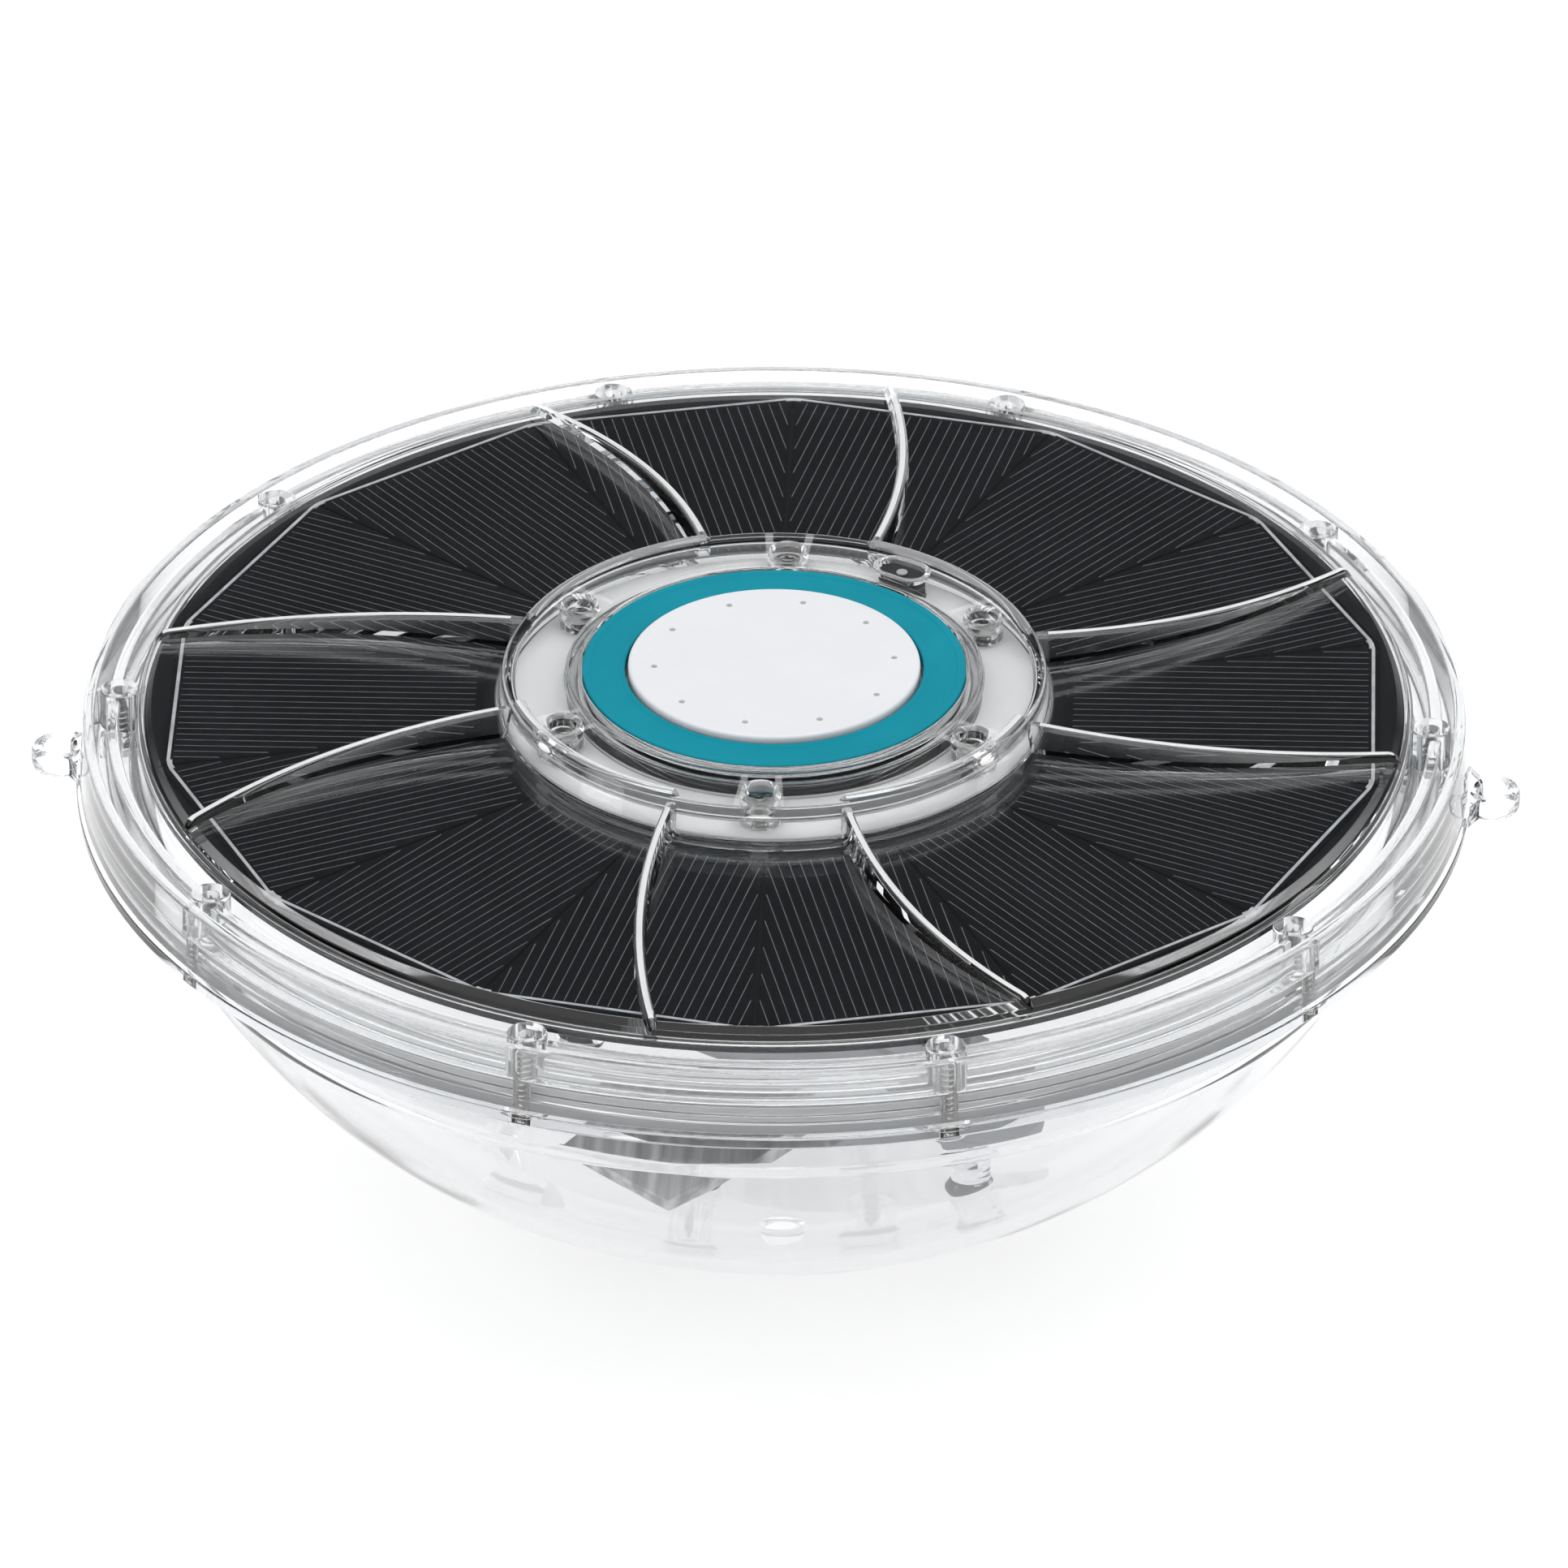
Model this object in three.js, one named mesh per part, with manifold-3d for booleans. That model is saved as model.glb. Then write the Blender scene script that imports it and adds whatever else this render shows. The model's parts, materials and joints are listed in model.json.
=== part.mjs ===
// Floating solar pool light. A clear spherical bowl is closed by a clear cover with a ring of
// solar cells under it and a raised hub in the middle that holds a push button. Millimetres,
// +Z up, origin on the plane of the feet under the centre, tether eyelets on the X axis.
import * as THREE from "three";
import { mergeVertices } from "three/addons/utils/BufferGeometryUtils.js";
import Module from "manifold-3d";

const wasm = await Module();
wasm.setup();

// ---- driving dimensions -------------------------------------------------------------------
const GAP = 0.3; // between pieces that touch on the real thing
const TURN = 40; // facets round the large turned pieces

const BOWL_R = 141.4; // outside of the sphere
const BOWL_Z = 141.9; // height of its centre
const BOWL_WALL = 2.8;
const NECK_R = 127.2;
const FLANGE_R = 140.3;
const FLANGE_Z = 93.0;
const FLANGE_TOP = 95.6;
const FOOT = { count: 3, r: 4.5, at: 36, height: 6.6, turn: -84 };

const RIM_SCREWS = 10;
const RIM_SCREW_AT = 131.8;
const RIM_SCREW = { head: 3.4, shank: 1.6, from: 90.2, under: 92.3, tip: 108.1 };
const RIM_CUP = { r: 4.9, bore: 3.8, from: 89.8, ceiling: 92.6 };

const EYELET = { at: 144.2, r: 5.8, hole: 3.1, from: 90.8, flare: 13 };

const COVER_FROM = 96.0;
const CHANNEL_FLOOR = 101.0;
const RIM_TOP = 109.2;
const MID_WALL_TOP = 108.4;
const PLATE_TOP = 111.7;
const PLATE_UNDER = 108.5;
const BOSS_R = 4.0;

const RIB = { thick: 2.2, from: 55.0, edge: 124.6, to: 126.9, high: 117.6, low: 113.0, foot: 109.2 };

const HUB_R = 55.7;
const HUB_TOP = 118.4;
const HUB_UNDER = 115.4;
const HUB_BORE = 53.9;
const LIP = { inner: 51.7, outer: 54.0, top: 119.6, from: 18.5, to: 71.5 };
const RIB_SETS = [
  { start: LIP.from, turn: 8.2, bulge: 5.8 },
  { start: LIP.to, turn: 11.2, bulge: 4.3 },
]; // four ribs each, from the ends of the lips
const WELL_R = 38.8;
const COLLAR_R = 41.5;
const COLLAR_TOP = 118.9;
const WELL_FLOOR = 112.8;
const WELL_UNDER = 111.6;
const WELL_OPENING = 20;

const HUB_SCREWS = 6;
const HUB_SCREW_AT = 47;
const HUB_SCREW = { head: 2.5, shank: 1.45, from: 116.3, under: 113.7, tip: 101.0 };
const PILLAR_R = 4.1;
const COUNTERBORE = { r: 2.9, floor: 113.4 };

const SENSOR_TURN = 60; // degrees round the hub
const SENSOR_AT = 47;
const SENSOR = { from: 105.6, top: 117.0, window: 117.8, lip: 118.8 };

const CELLS = 14;
const CELL_TURN = 91.5; // where the first corner lies
const CELL_OUTER = 124.5;
const CELL_INNER = 60;
const CELL_GAP = 0.7;
const BOARD = { outer: 125.9, inner: 51.5, from: 106.6, top: 107.6 };

const HOUSING = { flange: 53.4, top: 111.1, under: 108.1, wall: 43, floor: 70 };
const BATTERY = { r: 7.1, length: 49.5, nub: 2.75, pitch: 15, z: 81.4 };

const RING = { inner: 29.9, outer: 38.5, from: 116.3, top: 118.8 };
const BUTTON = { r: 29.3, top: 119.9, under: 117.7, skirt: 116.0, stem: 4.0, stemEnd: 101.6 };
const SEAL = { from: 113.1, top: 114.1, ridge: 115.1 }; // its rim carries the ring
const PIN_HOLES = { count: 10, r: 0.6, at: 24.1, deep: 0.8, turn: 7.4 };
const SPRING = { r: 8.5, wire: 0.3, turns: 2, from: 114.4, to: 117.4 };

const BALLAST = { length: 92, width: 32, from: 15.5, top: 18.5, turn: 48, screw: 22 };
const LAMP = { length: 130, width: 26, from: 31.0, top: 34.0, turn: -33.5, post: 50 };

// ---- shape helpers ------------------------------------------------------------------------
const rad = THREE.MathUtils.degToRad;

// A closed three.js geometry as a solid for booleans.
function solid(geometry) {
  const bare = new THREE.BufferGeometry();
  const source = geometry.index ? geometry.toNonIndexed() : geometry;
  bare.setAttribute("position", source.getAttribute("position"));
  const merged = mergeVertices(bare, 1e-3);
  const corners = merged.index.array;
  const kept = [];
  for (let i = 0; i < corners.length; i += 3) {
    const [a, b, c] = corners.subarray(i, i + 3);
    if (a !== b && b !== c && c !== a) kept.push(a, b, c);
  }
  return new wasm.Manifold(
    new wasm.Mesh({
      numProp: 3,
      vertProperties: merged.attributes.position.array,
      triVerts: new Uint32Array(kept),
    }),
  );
}

// A solid back as a three.js geometry, without the slivers that booleans leave.
function geometryOf(body) {
  const mesh = body.simplify(0.01).getMesh();
  const stride = mesh.numProp;
  const points = new Float32Array(mesh.numVert * 3);
  for (let i = 0; i < mesh.numVert; i++) {
    points.set(mesh.vertProperties.subarray(i * stride, i * stride + 3), i * 3);
  }
  const geometry = new THREE.BufferGeometry();
  geometry.setAttribute("position", new THREE.BufferAttribute(points, 3));
  geometry.setIndex(new THREE.BufferAttribute(mesh.triVerts, 1));
  return geometry;
}

// [radius, height] points turned about Z. The outline closes on itself unless both of its
// ends lie on the axis. It runs counter-clockwise in the radius-height plane.
function turned(outline, facets = TURN) {
  const points = outline.map(([r, z]) => new THREE.Vector2(r, z));
  if (outline[0][0] > 0) points.push(points[0].clone());
  return new THREE.LatheGeometry(points, facets).rotateX(Math.PI / 2).rotateZ(Math.PI / 2);
}

function prism(shape, from, to, curveSegments = 8) {
  const options = { depth: to - from, bevelEnabled: false, curveSegments };
  return new THREE.ExtrudeGeometry(shape, options).translate(0, 0, from);
}

function post(r, from, to, facets = 16) {
  return new THREE.CylinderGeometry(r, r, to - from, facets)
    .rotateX(Math.PI / 2)
    .translate(0, 0, (from + to) / 2);
}

function box(length, width, from, to) {
  return new THREE.BoxGeometry(length, width, to - from).translate(0, 0, (from + to) / 2);
}

// An outline with two straight sides and round ends, long along X.
function obround(length, width) {
  const half = (length - width) / 2;
  const shape = new THREE.Shape();
  shape.absarc(half, 0, width / 2, -Math.PI / 2, Math.PI / 2);
  shape.absarc(-half, 0, width / 2, Math.PI / 2, (3 * Math.PI) / 2);
  return shape;
}

// A band of a ring between two angles in degrees, with round ends.
function arcBand(inner, outer, from, to) {
  const mid = (inner + outer) / 2;
  const cap = (outer - inner) / 2;
  const shape = new THREE.Shape();
  shape.absarc(0, 0, outer, rad(from), rad(to));
  shape.absarc(mid * Math.cos(rad(to)), mid * Math.sin(rad(to)), cap, rad(to), rad(to + 180));
  shape.absarc(0, 0, inner, rad(to), rad(from), true);
  shape.absarc(
    mid * Math.cos(rad(from)),
    mid * Math.sin(rad(from)),
    cap,
    rad(from + 180),
    rad(from + 360),
  );
  return shape;
}

// The same geometry moved out along X and turned to a place on a circle.
function placed(geometry, at, degrees) {
  return geometry.clone().translate(at, 0, 0).rotateZ(rad(degrees));
}

// Copies of a geometry round a circle, as one solid.
function ringOf(geometry, count, at, first = 0) {
  let all = null;
  for (let k = 0; k < count; k++) {
    const one = solid(placed(geometry, at, first + (360 * k) / count));
    all = all ? all.add(one) : one;
  }
  return all;
}

// A pan-head screw: the head's outer face at "from", its seat at "under", its point at "tip".
function screwOutline({ head, shank, from, under, tip }) {
  const way = Math.sign(under - from);
  const outline = [
    [0, from],
    [head - 0.4, from],
    [head, from + way * 0.6],
    [head, under],
    [shank, under],
    [shank, tip - way * 1.4],
    [0, tip],
  ];
  return way > 0 ? outline : outline.reverse();
}

// ---- materials and assembly ---------------------------------------------------------------
const clear = { color: 0xe8eef0, roughness: 0.06, metalness: 0 };
const white = { color: 0xf1f2f4, roughness: 0.42, metalness: 0 };
const teal = { color: 0x1b96a5, roughness: 0.5, metalness: 0 };
const black = { color: 0x14171b, roughness: 0.5, metalness: 0 };
const silicon = { color: 0x1b1f24, roughness: 0.25, metalness: 0 };
const steel = { color: 0xb9bcbf, roughness: 0.32, metalness: 1 };
const grey = { color: 0xc4c7ca, roughness: 0.45, metalness: 0 };
const rubber = { color: 0xd8dcde, roughness: 0.6, metalness: 0 };
const green = { color: 0x14573a, roughness: 0.45, metalness: 0 };
const lens = { color: 0xf2f4ec, roughness: 0.1, metalness: 0 };
const blue = { color: 0x2c5f9e, roughness: 0.4, metalness: 0 };

const root = new THREE.Group();
root.name = "floating_pool_light";

function part(name, shape, look) {
  const geometry = shape.isBufferGeometry ? shape : geometryOf(shape);
  const mesh = new THREE.Mesh(geometry, new THREE.MeshStandardMaterial(look));
  mesh.name = name;
  root.add(mesh);
  return mesh;
}

// ---- bowl ---------------------------------------------------------------------------------
// The spherical part of an outline from the pole up to a given radius.
function sphereOutline(r, upTo, steps) {
  const last = Math.asin(upTo / r);
  const outline = [];
  for (let i = 0; i <= steps; i++) {
    const a = (last * i) / steps;
    outline.push([r * Math.sin(a), BOWL_Z - r * Math.cos(a)]);
  }
  outline[0][0] = 0;
  return outline;
}

const bowlOutside = solid(
  turned([
    ...sphereOutline(BOWL_R, NECK_R, 10),
    [NECK_R, FLANGE_Z],
    [FLANGE_R, FLANGE_Z],
    [FLANGE_R, FLANGE_TOP],
    [0, FLANGE_TOP],
  ]),
);
const bowlInside = solid(
  turned([
    ...sphereOutline(BOWL_R - BOWL_WALL, NECK_R - BOWL_WALL, 8),
    [NECK_R - BOWL_WALL, FLANGE_TOP + 1],
    [0, FLANGE_TOP + 1],
  ]),
);

const eyelet = new THREE.Shape();
const neckAngle = rad(112.3);
eyelet.moveTo(138.5, -EYELET.flare);
eyelet.quadraticCurveTo(
  140.6,
  -6.5,
  EYELET.at + EYELET.r * Math.cos(neckAngle),
  -EYELET.r * Math.sin(neckAngle),
);
eyelet.absarc(EYELET.at, 0, EYELET.r, -neckAngle, neckAngle);
eyelet.quadraticCurveTo(140.6, 6.5, 138.5, EYELET.flare);
const eyeletHole = new THREE.Path();
eyeletHole.absarc(EYELET.at, 0, EYELET.hole, 0, 2 * Math.PI, true);
eyelet.holes.push(eyeletHole);

const floorPosts = ringOf(post(4.0, 4, LAMP.from - GAP), 2, LAMP.post, LAMP.turn)
  .add(ringOf(post(4.0, 3, BALLAST.from - GAP), 2, BALLAST.screw, BALLAST.turn))
  .intersect(bowlOutside);
const footStubs = ringOf(post(FOOT.r, 0, FOOT.height, 20), FOOT.count, FOOT.at, FOOT.turn);

part(
  "bowl",
  bowlOutside
    .subtract(bowlInside)
    .add(floorPosts)
    .add(footStubs)
    .add(ringOf(prism(eyelet, EYELET.from, FLANGE_TOP), 2, 0))
    .add(ringOf(post(RIM_CUP.r, RIM_CUP.from, FLANGE_Z + 1), RIM_SCREWS, RIM_SCREW_AT))
    .subtract(ringOf(post(RIM_CUP.bore, 80, RIM_CUP.ceiling), RIM_SCREWS, RIM_SCREW_AT))
    .subtract(ringOf(post(2.0, 85, 99, 12), RIM_SCREWS, RIM_SCREW_AT))
    .subtract(ringOf(post(1.6, 20, 40, 10), 2, LAMP.post, LAMP.turn))
    .subtract(ringOf(post(1.6, 8, 20, 10), 2, BALLAST.screw, BALLAST.turn)),
  clear,
);

// ---- cover --------------------------------------------------------------------------------
const coverBody = solid(
  turned([
    [WELL_OPENING, WELL_UNDER],
    [COLLAR_R, WELL_UNDER],
    [COLLAR_R, HUB_UNDER],
    [HUB_BORE - 1.2, HUB_UNDER],
    [HUB_BORE, PLATE_TOP],
    [HUB_BORE, PLATE_UNDER],
    [126.4, PLATE_UNDER],
    [126.4, COVER_FROM],
    [127.3, COVER_FROM],
    [127.3, 98.0],
    [129.6, 98.0],
    [129.6, COVER_FROM],
    [139.6, COVER_FROM],
    [138.7, RIM_TOP],
    [136.4, RIM_TOP],
    [136.1, CHANNEL_FLOOR],
    [134.0, CHANNEL_FLOOR],
    [134.0, MID_WALL_TOP],
    [131.4, MID_WALL_TOP],
    [131.4, CHANNEL_FLOOR],
    [128.2, CHANNEL_FLOOR],
    [128.2, 109.6],
    [127.0, 111.0],
    [124.8, PLATE_TOP],
    [HUB_R, PLATE_TOP],
    [54.6, HUB_TOP - 0.7],
    [53.9, HUB_TOP],
    [COLLAR_R, HUB_TOP],
    [COLLAR_R - 0.5, COLLAR_TOP],
    [WELL_R, COLLAR_TOP],
    [WELL_R, WELL_FLOOR],
    [WELL_OPENING, WELL_FLOOR],
  ]),
);

// A curved rib runs from the hub over the edge of the plate; its crest falls with the radius.
function ribOutline({ turn, bulge }) {
  const start = new THREE.Vector2(RIB.from, 0);
  const end = new THREE.Vector2(RIB.to * Math.cos(rad(turn)), RIB.to * Math.sin(rad(turn)));
  const along = end.clone().sub(start);
  const side = new THREE.Vector2(along.y, -along.x).normalize();
  const control = start.clone().add(end).multiplyScalar(0.5);
  control.addScaledVector(side, 2 * bulge);
  const line = new THREE.QuadraticBezierCurve(start, control, end);
  const left = [];
  const right = [];
  const steps = 7;
  for (let i = 0; i <= steps; i++) {
    const here = line.getPoint(i / steps);
    const way = line.getTangent(i / steps);
    const half = RIB.thick / 2;
    left.push(new THREE.Vector2(here.x - way.y * half, here.y + way.x * half));
    right.push(new THREE.Vector2(here.x + way.y * half, here.y - way.x * half));
  }
  const tip = line.getTangent(1).multiplyScalar(RIB.thick / 2).add(end);
  return new THREE.Shape([...right, tip, ...left.reverse()]);
}

const ribCrest = solid(
  turned([
    [0, RIB.foot - 1],
    [RIB.to + 2.6, RIB.foot - 1],
    [RIB.to + 2.6, RIB.foot],
    [RIB.to + 0.4, RIB.low - 1.8],
    [RIB.edge, RIB.low],
    [RIB.from, RIB.high],
    [0, RIB.high],
  ]),
);
const [ribs, moreRibs] = RIB_SETS.map((set) =>
  ringOf(prism(ribOutline(set), RIB.foot, HUB_TOP), 4, 0, set.start),
);

const lip = prism(arcBand(LIP.inner, LIP.outer, LIP.from, LIP.to), HUB_TOP - 0.8, LIP.top, 5);
const rimBoss = post(BOSS_R, CHANNEL_FLOOR - 1, RIM_TOP, 14);
const rimWeb = box(6.5, 1.6, CHANNEL_FLOOR - 1, RIM_TOP - 0.6).translate(2.4, 0, 0);
const pillar = post(PILLAR_R, WELL_UNDER - 0.2, HUB_UNDER + 1, 14);
// The sensor looks up through a thin window: a pocket under the plate and a raised lip above it.
const sensorPocket = prism(obround(11.0, 6.8), HUB_UNDER - 1, SENSOR.window, 6).rotateZ(Math.PI / 2);
const lipOutline = obround(12.4, 8.2);
lipOutline.holes.push(new THREE.Path(obround(10.2, 6.0).getPoints(6).reverse()));
const sensorLip = prism(lipOutline, HUB_TOP - 0.2, SENSOR.lip, 6).rotateZ(Math.PI / 2);

part(
  "top_cover",
  coverBody
    .add(ribs.add(moreRibs).intersect(ribCrest))
    .add(ringOf(lip, 4, 0))
    .add(ringOf(rimBoss, RIM_SCREWS, RIM_SCREW_AT))
    .add(ringOf(rimWeb, RIM_SCREWS, RIM_SCREW_AT))
    .add(ringOf(pillar, HUB_SCREWS, HUB_SCREW_AT, 30))
    .subtract(ringOf(post(1.9, 90, 108.4, 12), RIM_SCREWS, RIM_SCREW_AT))
    .subtract(ringOf(post(1.9, 105, 116, 12), HUB_SCREWS, HUB_SCREW_AT, 30))
    .subtract(
      ringOf(post(COUNTERBORE.r, COUNTERBORE.floor, 125), HUB_SCREWS, HUB_SCREW_AT, 30),
    )
    .add(solid(placed(sensorLip, SENSOR_AT, SENSOR_TURN)))
    .subtract(solid(placed(sensorPocket, SENSOR_AT, SENSOR_TURN))),
  clear,
);

const gasketOutline = (inner, outer, from, to) => [
  [inner + 0.4, from],
  [outer - 0.4, from],
  [outer, (from + to) / 2],
  [outer - 0.4, to],
  [inner + 0.4, to],
  [inner, (from + to) / 2],
];
part("rim_gasket", turned(gasketOutline(127.6, 129.3, 95.9, 97.7)), rubber);

for (let k = 0; k < RIM_SCREWS; k++) {
  const number = String(k + 1).padStart(2, "0");
  const screw = turned(screwOutline(RIM_SCREW), 10);
  part("rim_screw_" + number, placed(screw, RIM_SCREW_AT, (360 * k) / RIM_SCREWS), steel);
}

// ---- solar panel --------------------------------------------------------------------------
part(
  "panel_board",
  turned([
    [BOARD.inner, BOARD.from],
    [BOARD.outer, BOARD.from],
    [BOARD.outer, BOARD.top],
    [BOARD.inner, BOARD.top],
  ]),
  black,
);

const halfCell = rad(180 / CELLS);
const outerX = CELL_OUTER * Math.cos(halfCell);
const innerX = CELL_INNER * Math.cos(halfCell);
const sideCut = CELL_GAP / 2 / Math.cos(halfCell);
const cellShape = new THREE.Shape([
  new THREE.Vector2(innerX, -innerX * Math.tan(halfCell) + sideCut),
  new THREE.Vector2(outerX, -outerX * Math.tan(halfCell) + sideCut),
  new THREE.Vector2(outerX, outerX * Math.tan(halfCell) - sideCut),
  new THREE.Vector2(innerX, innerX * Math.tan(halfCell) - sideCut),
]);
for (let k = 0; k < CELLS; k++) {
  const number = String(k + 1).padStart(2, "0");
  const turn = CELL_TURN - ((k + 0.5) * 360) / CELLS;
  const cell = prism(cellShape, BOARD.top + GAP, BOARD.top + GAP + 0.25);
  part("solar_cell_" + number, placed(cell, 0, turn), silicon);
}

// ---- electronics housing under the hub ----------------------------------------------------
const housingBody = solid(
  turned([
    [0, HOUSING.floor],
    [HOUSING.wall - 3, HOUSING.floor],
    [HOUSING.wall - 2, HOUSING.floor + 1],
    [HOUSING.wall, HOUSING.under],
    [HOUSING.flange, HOUSING.under],
    [HOUSING.flange, HOUSING.top],
    [41.6, HOUSING.top],
    [41.6, HOUSING.top - 1.3],
    [39.4, HOUSING.top - 1.3],
    [39.4, HOUSING.top],
    [38.4, HOUSING.top],
    [37.8, HOUSING.floor + 2.5],
    [0, HOUSING.floor + 2.5],
  ]),
);
const sensorSlot = prism(obround(10.8, 6.4), 100, 120, 6).rotateZ(Math.PI / 2);
part(
  "electronics_housing",
  housingBody
    .add(ringOf(post(3.4, 99, HOUSING.under + 1), HUB_SCREWS, HUB_SCREW_AT, 30))
    .add(ringOf(post(2.5, HOUSING.floor + 1, 91.7, 12), 4, 32))
    .subtract(ringOf(post(1.75, 100.5, 120, 12), HUB_SCREWS, HUB_SCREW_AT, 30))
    .subtract(solid(placed(sensorSlot, SENSOR_AT, SENSOR_TURN))),
  white,
);
part("hub_gasket", turned(gasketOutline(39.7, 41.3, 110.1, 111.3)), rubber);

for (let k = 0; k < HUB_SCREWS; k++) {
  const screw = turned(screwOutline(HUB_SCREW), 10);
  part("hub_screw_" + (k + 1), placed(screw, HUB_SCREW_AT, 30 + (360 * k) / HUB_SCREWS), steel);
}

const sensorBase = solid(prism(obround(11.6, 7.4), SENSOR.from, HOUSING.under - GAP, 6))
  .add(solid(prism(obround(10.2, 5.8), HOUSING.under - 1, SENSOR.top, 6)));
const sensorHome = geometryOf(sensorBase).rotateZ(Math.PI / 2);
part("sensor_carrier", placed(sensorHome, SENSOR_AT, SENSOR_TURN), black);
const sensorDome = turned(
  [
    [0, SENSOR.top + 0.2],
    [1.15, SENSOR.top + 0.2],
    [1.15, SENSOR.top + 0.45],
    [0.9, SENSOR.top + 0.6],
    [0, SENSOR.top + 0.6],
  ],
  16,
);
part("light_sensor", placed(sensorDome, SENSOR_AT, SENSOR_TURN), lens);

part(
  "control_board",
  solid(post(35.5, 92.0, 93.6, 36)).subtract(solid(box(8, 14, 90, 96).translate(-34, 0, 0))),
  green,
);

const trayOutside = solid(box(55, 48, 72.8, 84));
const trayInside = solid(box(52.6, 45.6, 74.0, 85));
const wireSlot = solid(box(60, 6, 79, 90));
part("battery_holder", trayOutside.subtract(trayInside).subtract(wireSlot), black);

for (let k = 0; k < 3; k++) {
  const half = BATTERY.length / 2;
  const outline = [
    [0, -half],
    [BATTERY.r - 0.6, -half],
    [BATTERY.r, -half + 0.6],
    [BATTERY.r, half - 0.6],
    [BATTERY.r - 0.6, half],
    [BATTERY.nub, half],
    [BATTERY.nub, half + 1],
    [0, half + 1],
  ];
  const way = k === 1 ? -1 : 1;
  const cell = turned(outline, 16)
    .rotateY((way * Math.PI) / 2)
    .translate(-way * 0.5, (k - 1) * BATTERY.pitch, BATTERY.z);
  part("battery_" + (k + 1), cell, blue);
}

// ---- button and its switch ----------------------------------------------------------------
part(
  "colour_ring",
  turned([
    [RING.inner, RING.from],
    [RING.outer, RING.from],
    [RING.outer, RING.top - 0.3],
    [RING.outer - 0.3, RING.top],
    [RING.inner + 0.3, RING.top],
    [RING.inner, RING.top - 0.3],
  ]),
  teal,
);

const buttonBody = solid(
  turned([
    [0, BUTTON.stemEnd],
    [BUTTON.stem, BUTTON.stemEnd],
    [BUTTON.stem, BUTTON.under],
    [27.6, BUTTON.under],
    [27.6, BUTTON.skirt],
    [BUTTON.r, BUTTON.skirt],
    [BUTTON.r, BUTTON.top - 0.8],
    [BUTTON.r - 0.3, BUTTON.top - 0.25],
    [BUTTON.r - 1.0, BUTTON.top],
    [0, BUTTON.top],
  ]),
);
const pinHole = post(PIN_HOLES.r, BUTTON.top - PIN_HOLES.deep, BUTTON.top + 1, 8);
part(
  "button_cap",
  buttonBody.subtract(ringOf(pinHole, PIN_HOLES.count, PIN_HOLES.at, PIN_HOLES.turn)),
  white,
);

part(
  "button_seal",
  turned(
    [
      [4.5, SEAL.from],
      [RING.outer, SEAL.from],
      [RING.outer, RING.from - GAP],
      [RING.inner, RING.from - GAP],
      [RING.inner, SEAL.top],
      [19, SEAL.top],
      [16.5, SEAL.ridge],
      [14, SEAL.top],
      [4.5, SEAL.top],
    ],
    40,
  ),
  rubber,
);

class Helix extends THREE.Curve {
  getPoint(t) {
    const a = t * SPRING.turns * 2 * Math.PI;
    const low = SPRING.from + SPRING.wire;
    const high = SPRING.to - SPRING.wire;
    const z = low + (high - low) * t;
    return new THREE.Vector3(SPRING.r * Math.cos(a), SPRING.r * Math.sin(a), z);
  }
}

// A wire swept along a curve, closed with a flat cap at each end.
function wire(curve, r, steps, sides) {
  const frames = curve.computeFrenetFrames(steps, false);
  const points = [];
  const faces = [];
  for (let i = 0; i <= steps; i++) {
    const centre = curve.getPointAt(i / steps);
    for (let j = 0; j < sides; j++) {
      const a = (2 * Math.PI * j) / sides;
      const spot = centre
        .clone()
        .addScaledVector(frames.normals[i], r * Math.cos(a))
        .addScaledVector(frames.binormals[i], r * Math.sin(a));
      points.push(spot.x, spot.y, spot.z);
    }
  }
  for (let i = 0; i < steps; i++) {
    for (let j = 0; j < sides; j++) {
      const a = i * sides + j;
      const b = i * sides + ((j + 1) % sides);
      faces.push(a, b, b + sides, a, b + sides, a + sides);
    }
  }
  for (let j = 1; j < sides - 1; j++) {
    const last = steps * sides;
    faces.push(0, j + 1, j, last, last + j, last + j + 1);
  }
  const geometry = new THREE.BufferGeometry();
  geometry.setAttribute("position", new THREE.Float32BufferAttribute(points, 3));
  geometry.setIndex(faces);
  return geometry;
}
part("button_spring", wire(new Helix(), SPRING.wire, 32, 6), steel);

part(
  "switch_body",
  solid(box(7.6, 7.6, 93.9, 99.6)).subtract(solid(post(2.1, 95.4, 105))),
  black,
);
part("switch_plunger", post(1.75, 96.6, BUTTON.stemEnd - GAP), white);

// ---- lamp and ballast in the bowl ---------------------------------------------------------
const across = (shape, turn) => shape.rotateZ(rad(turn));
part(
  "lamp_carrier",
  solid(across(prism(obround(LAMP.length, LAMP.width), LAMP.from, LAMP.top, 12), LAMP.turn))
    .subtract(ringOf(post(1.6, 25, 40, 12), 2, LAMP.post, LAMP.turn)),
  grey,
);
part("led_board", across(box(70, 18, 29.1, LAMP.from - GAP), LAMP.turn), green);
for (let k = 0; k < 4; k++) {
  const outline = [
    [0, 24.4],
    [1.4, 24.8],
    [2.5, 26.2],
    [2.5, 28.0],
    [3.1, 28.0],
    [3.1, 28.8],
    [0, 28.8],
  ];
  const dome = turned(outline, 12);
  part("led_" + (k + 1), placed(dome, -27 + 18 * k, LAMP.turn), lens);
}
part(
  "ballast_bar",
  solid(across(box(BALLAST.length, BALLAST.width, BALLAST.from, BALLAST.top), BALLAST.turn))
    .subtract(ringOf(post(1.8, 10, 25, 12), 2, BALLAST.screw, BALLAST.turn)),
  steel,
);

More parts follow.
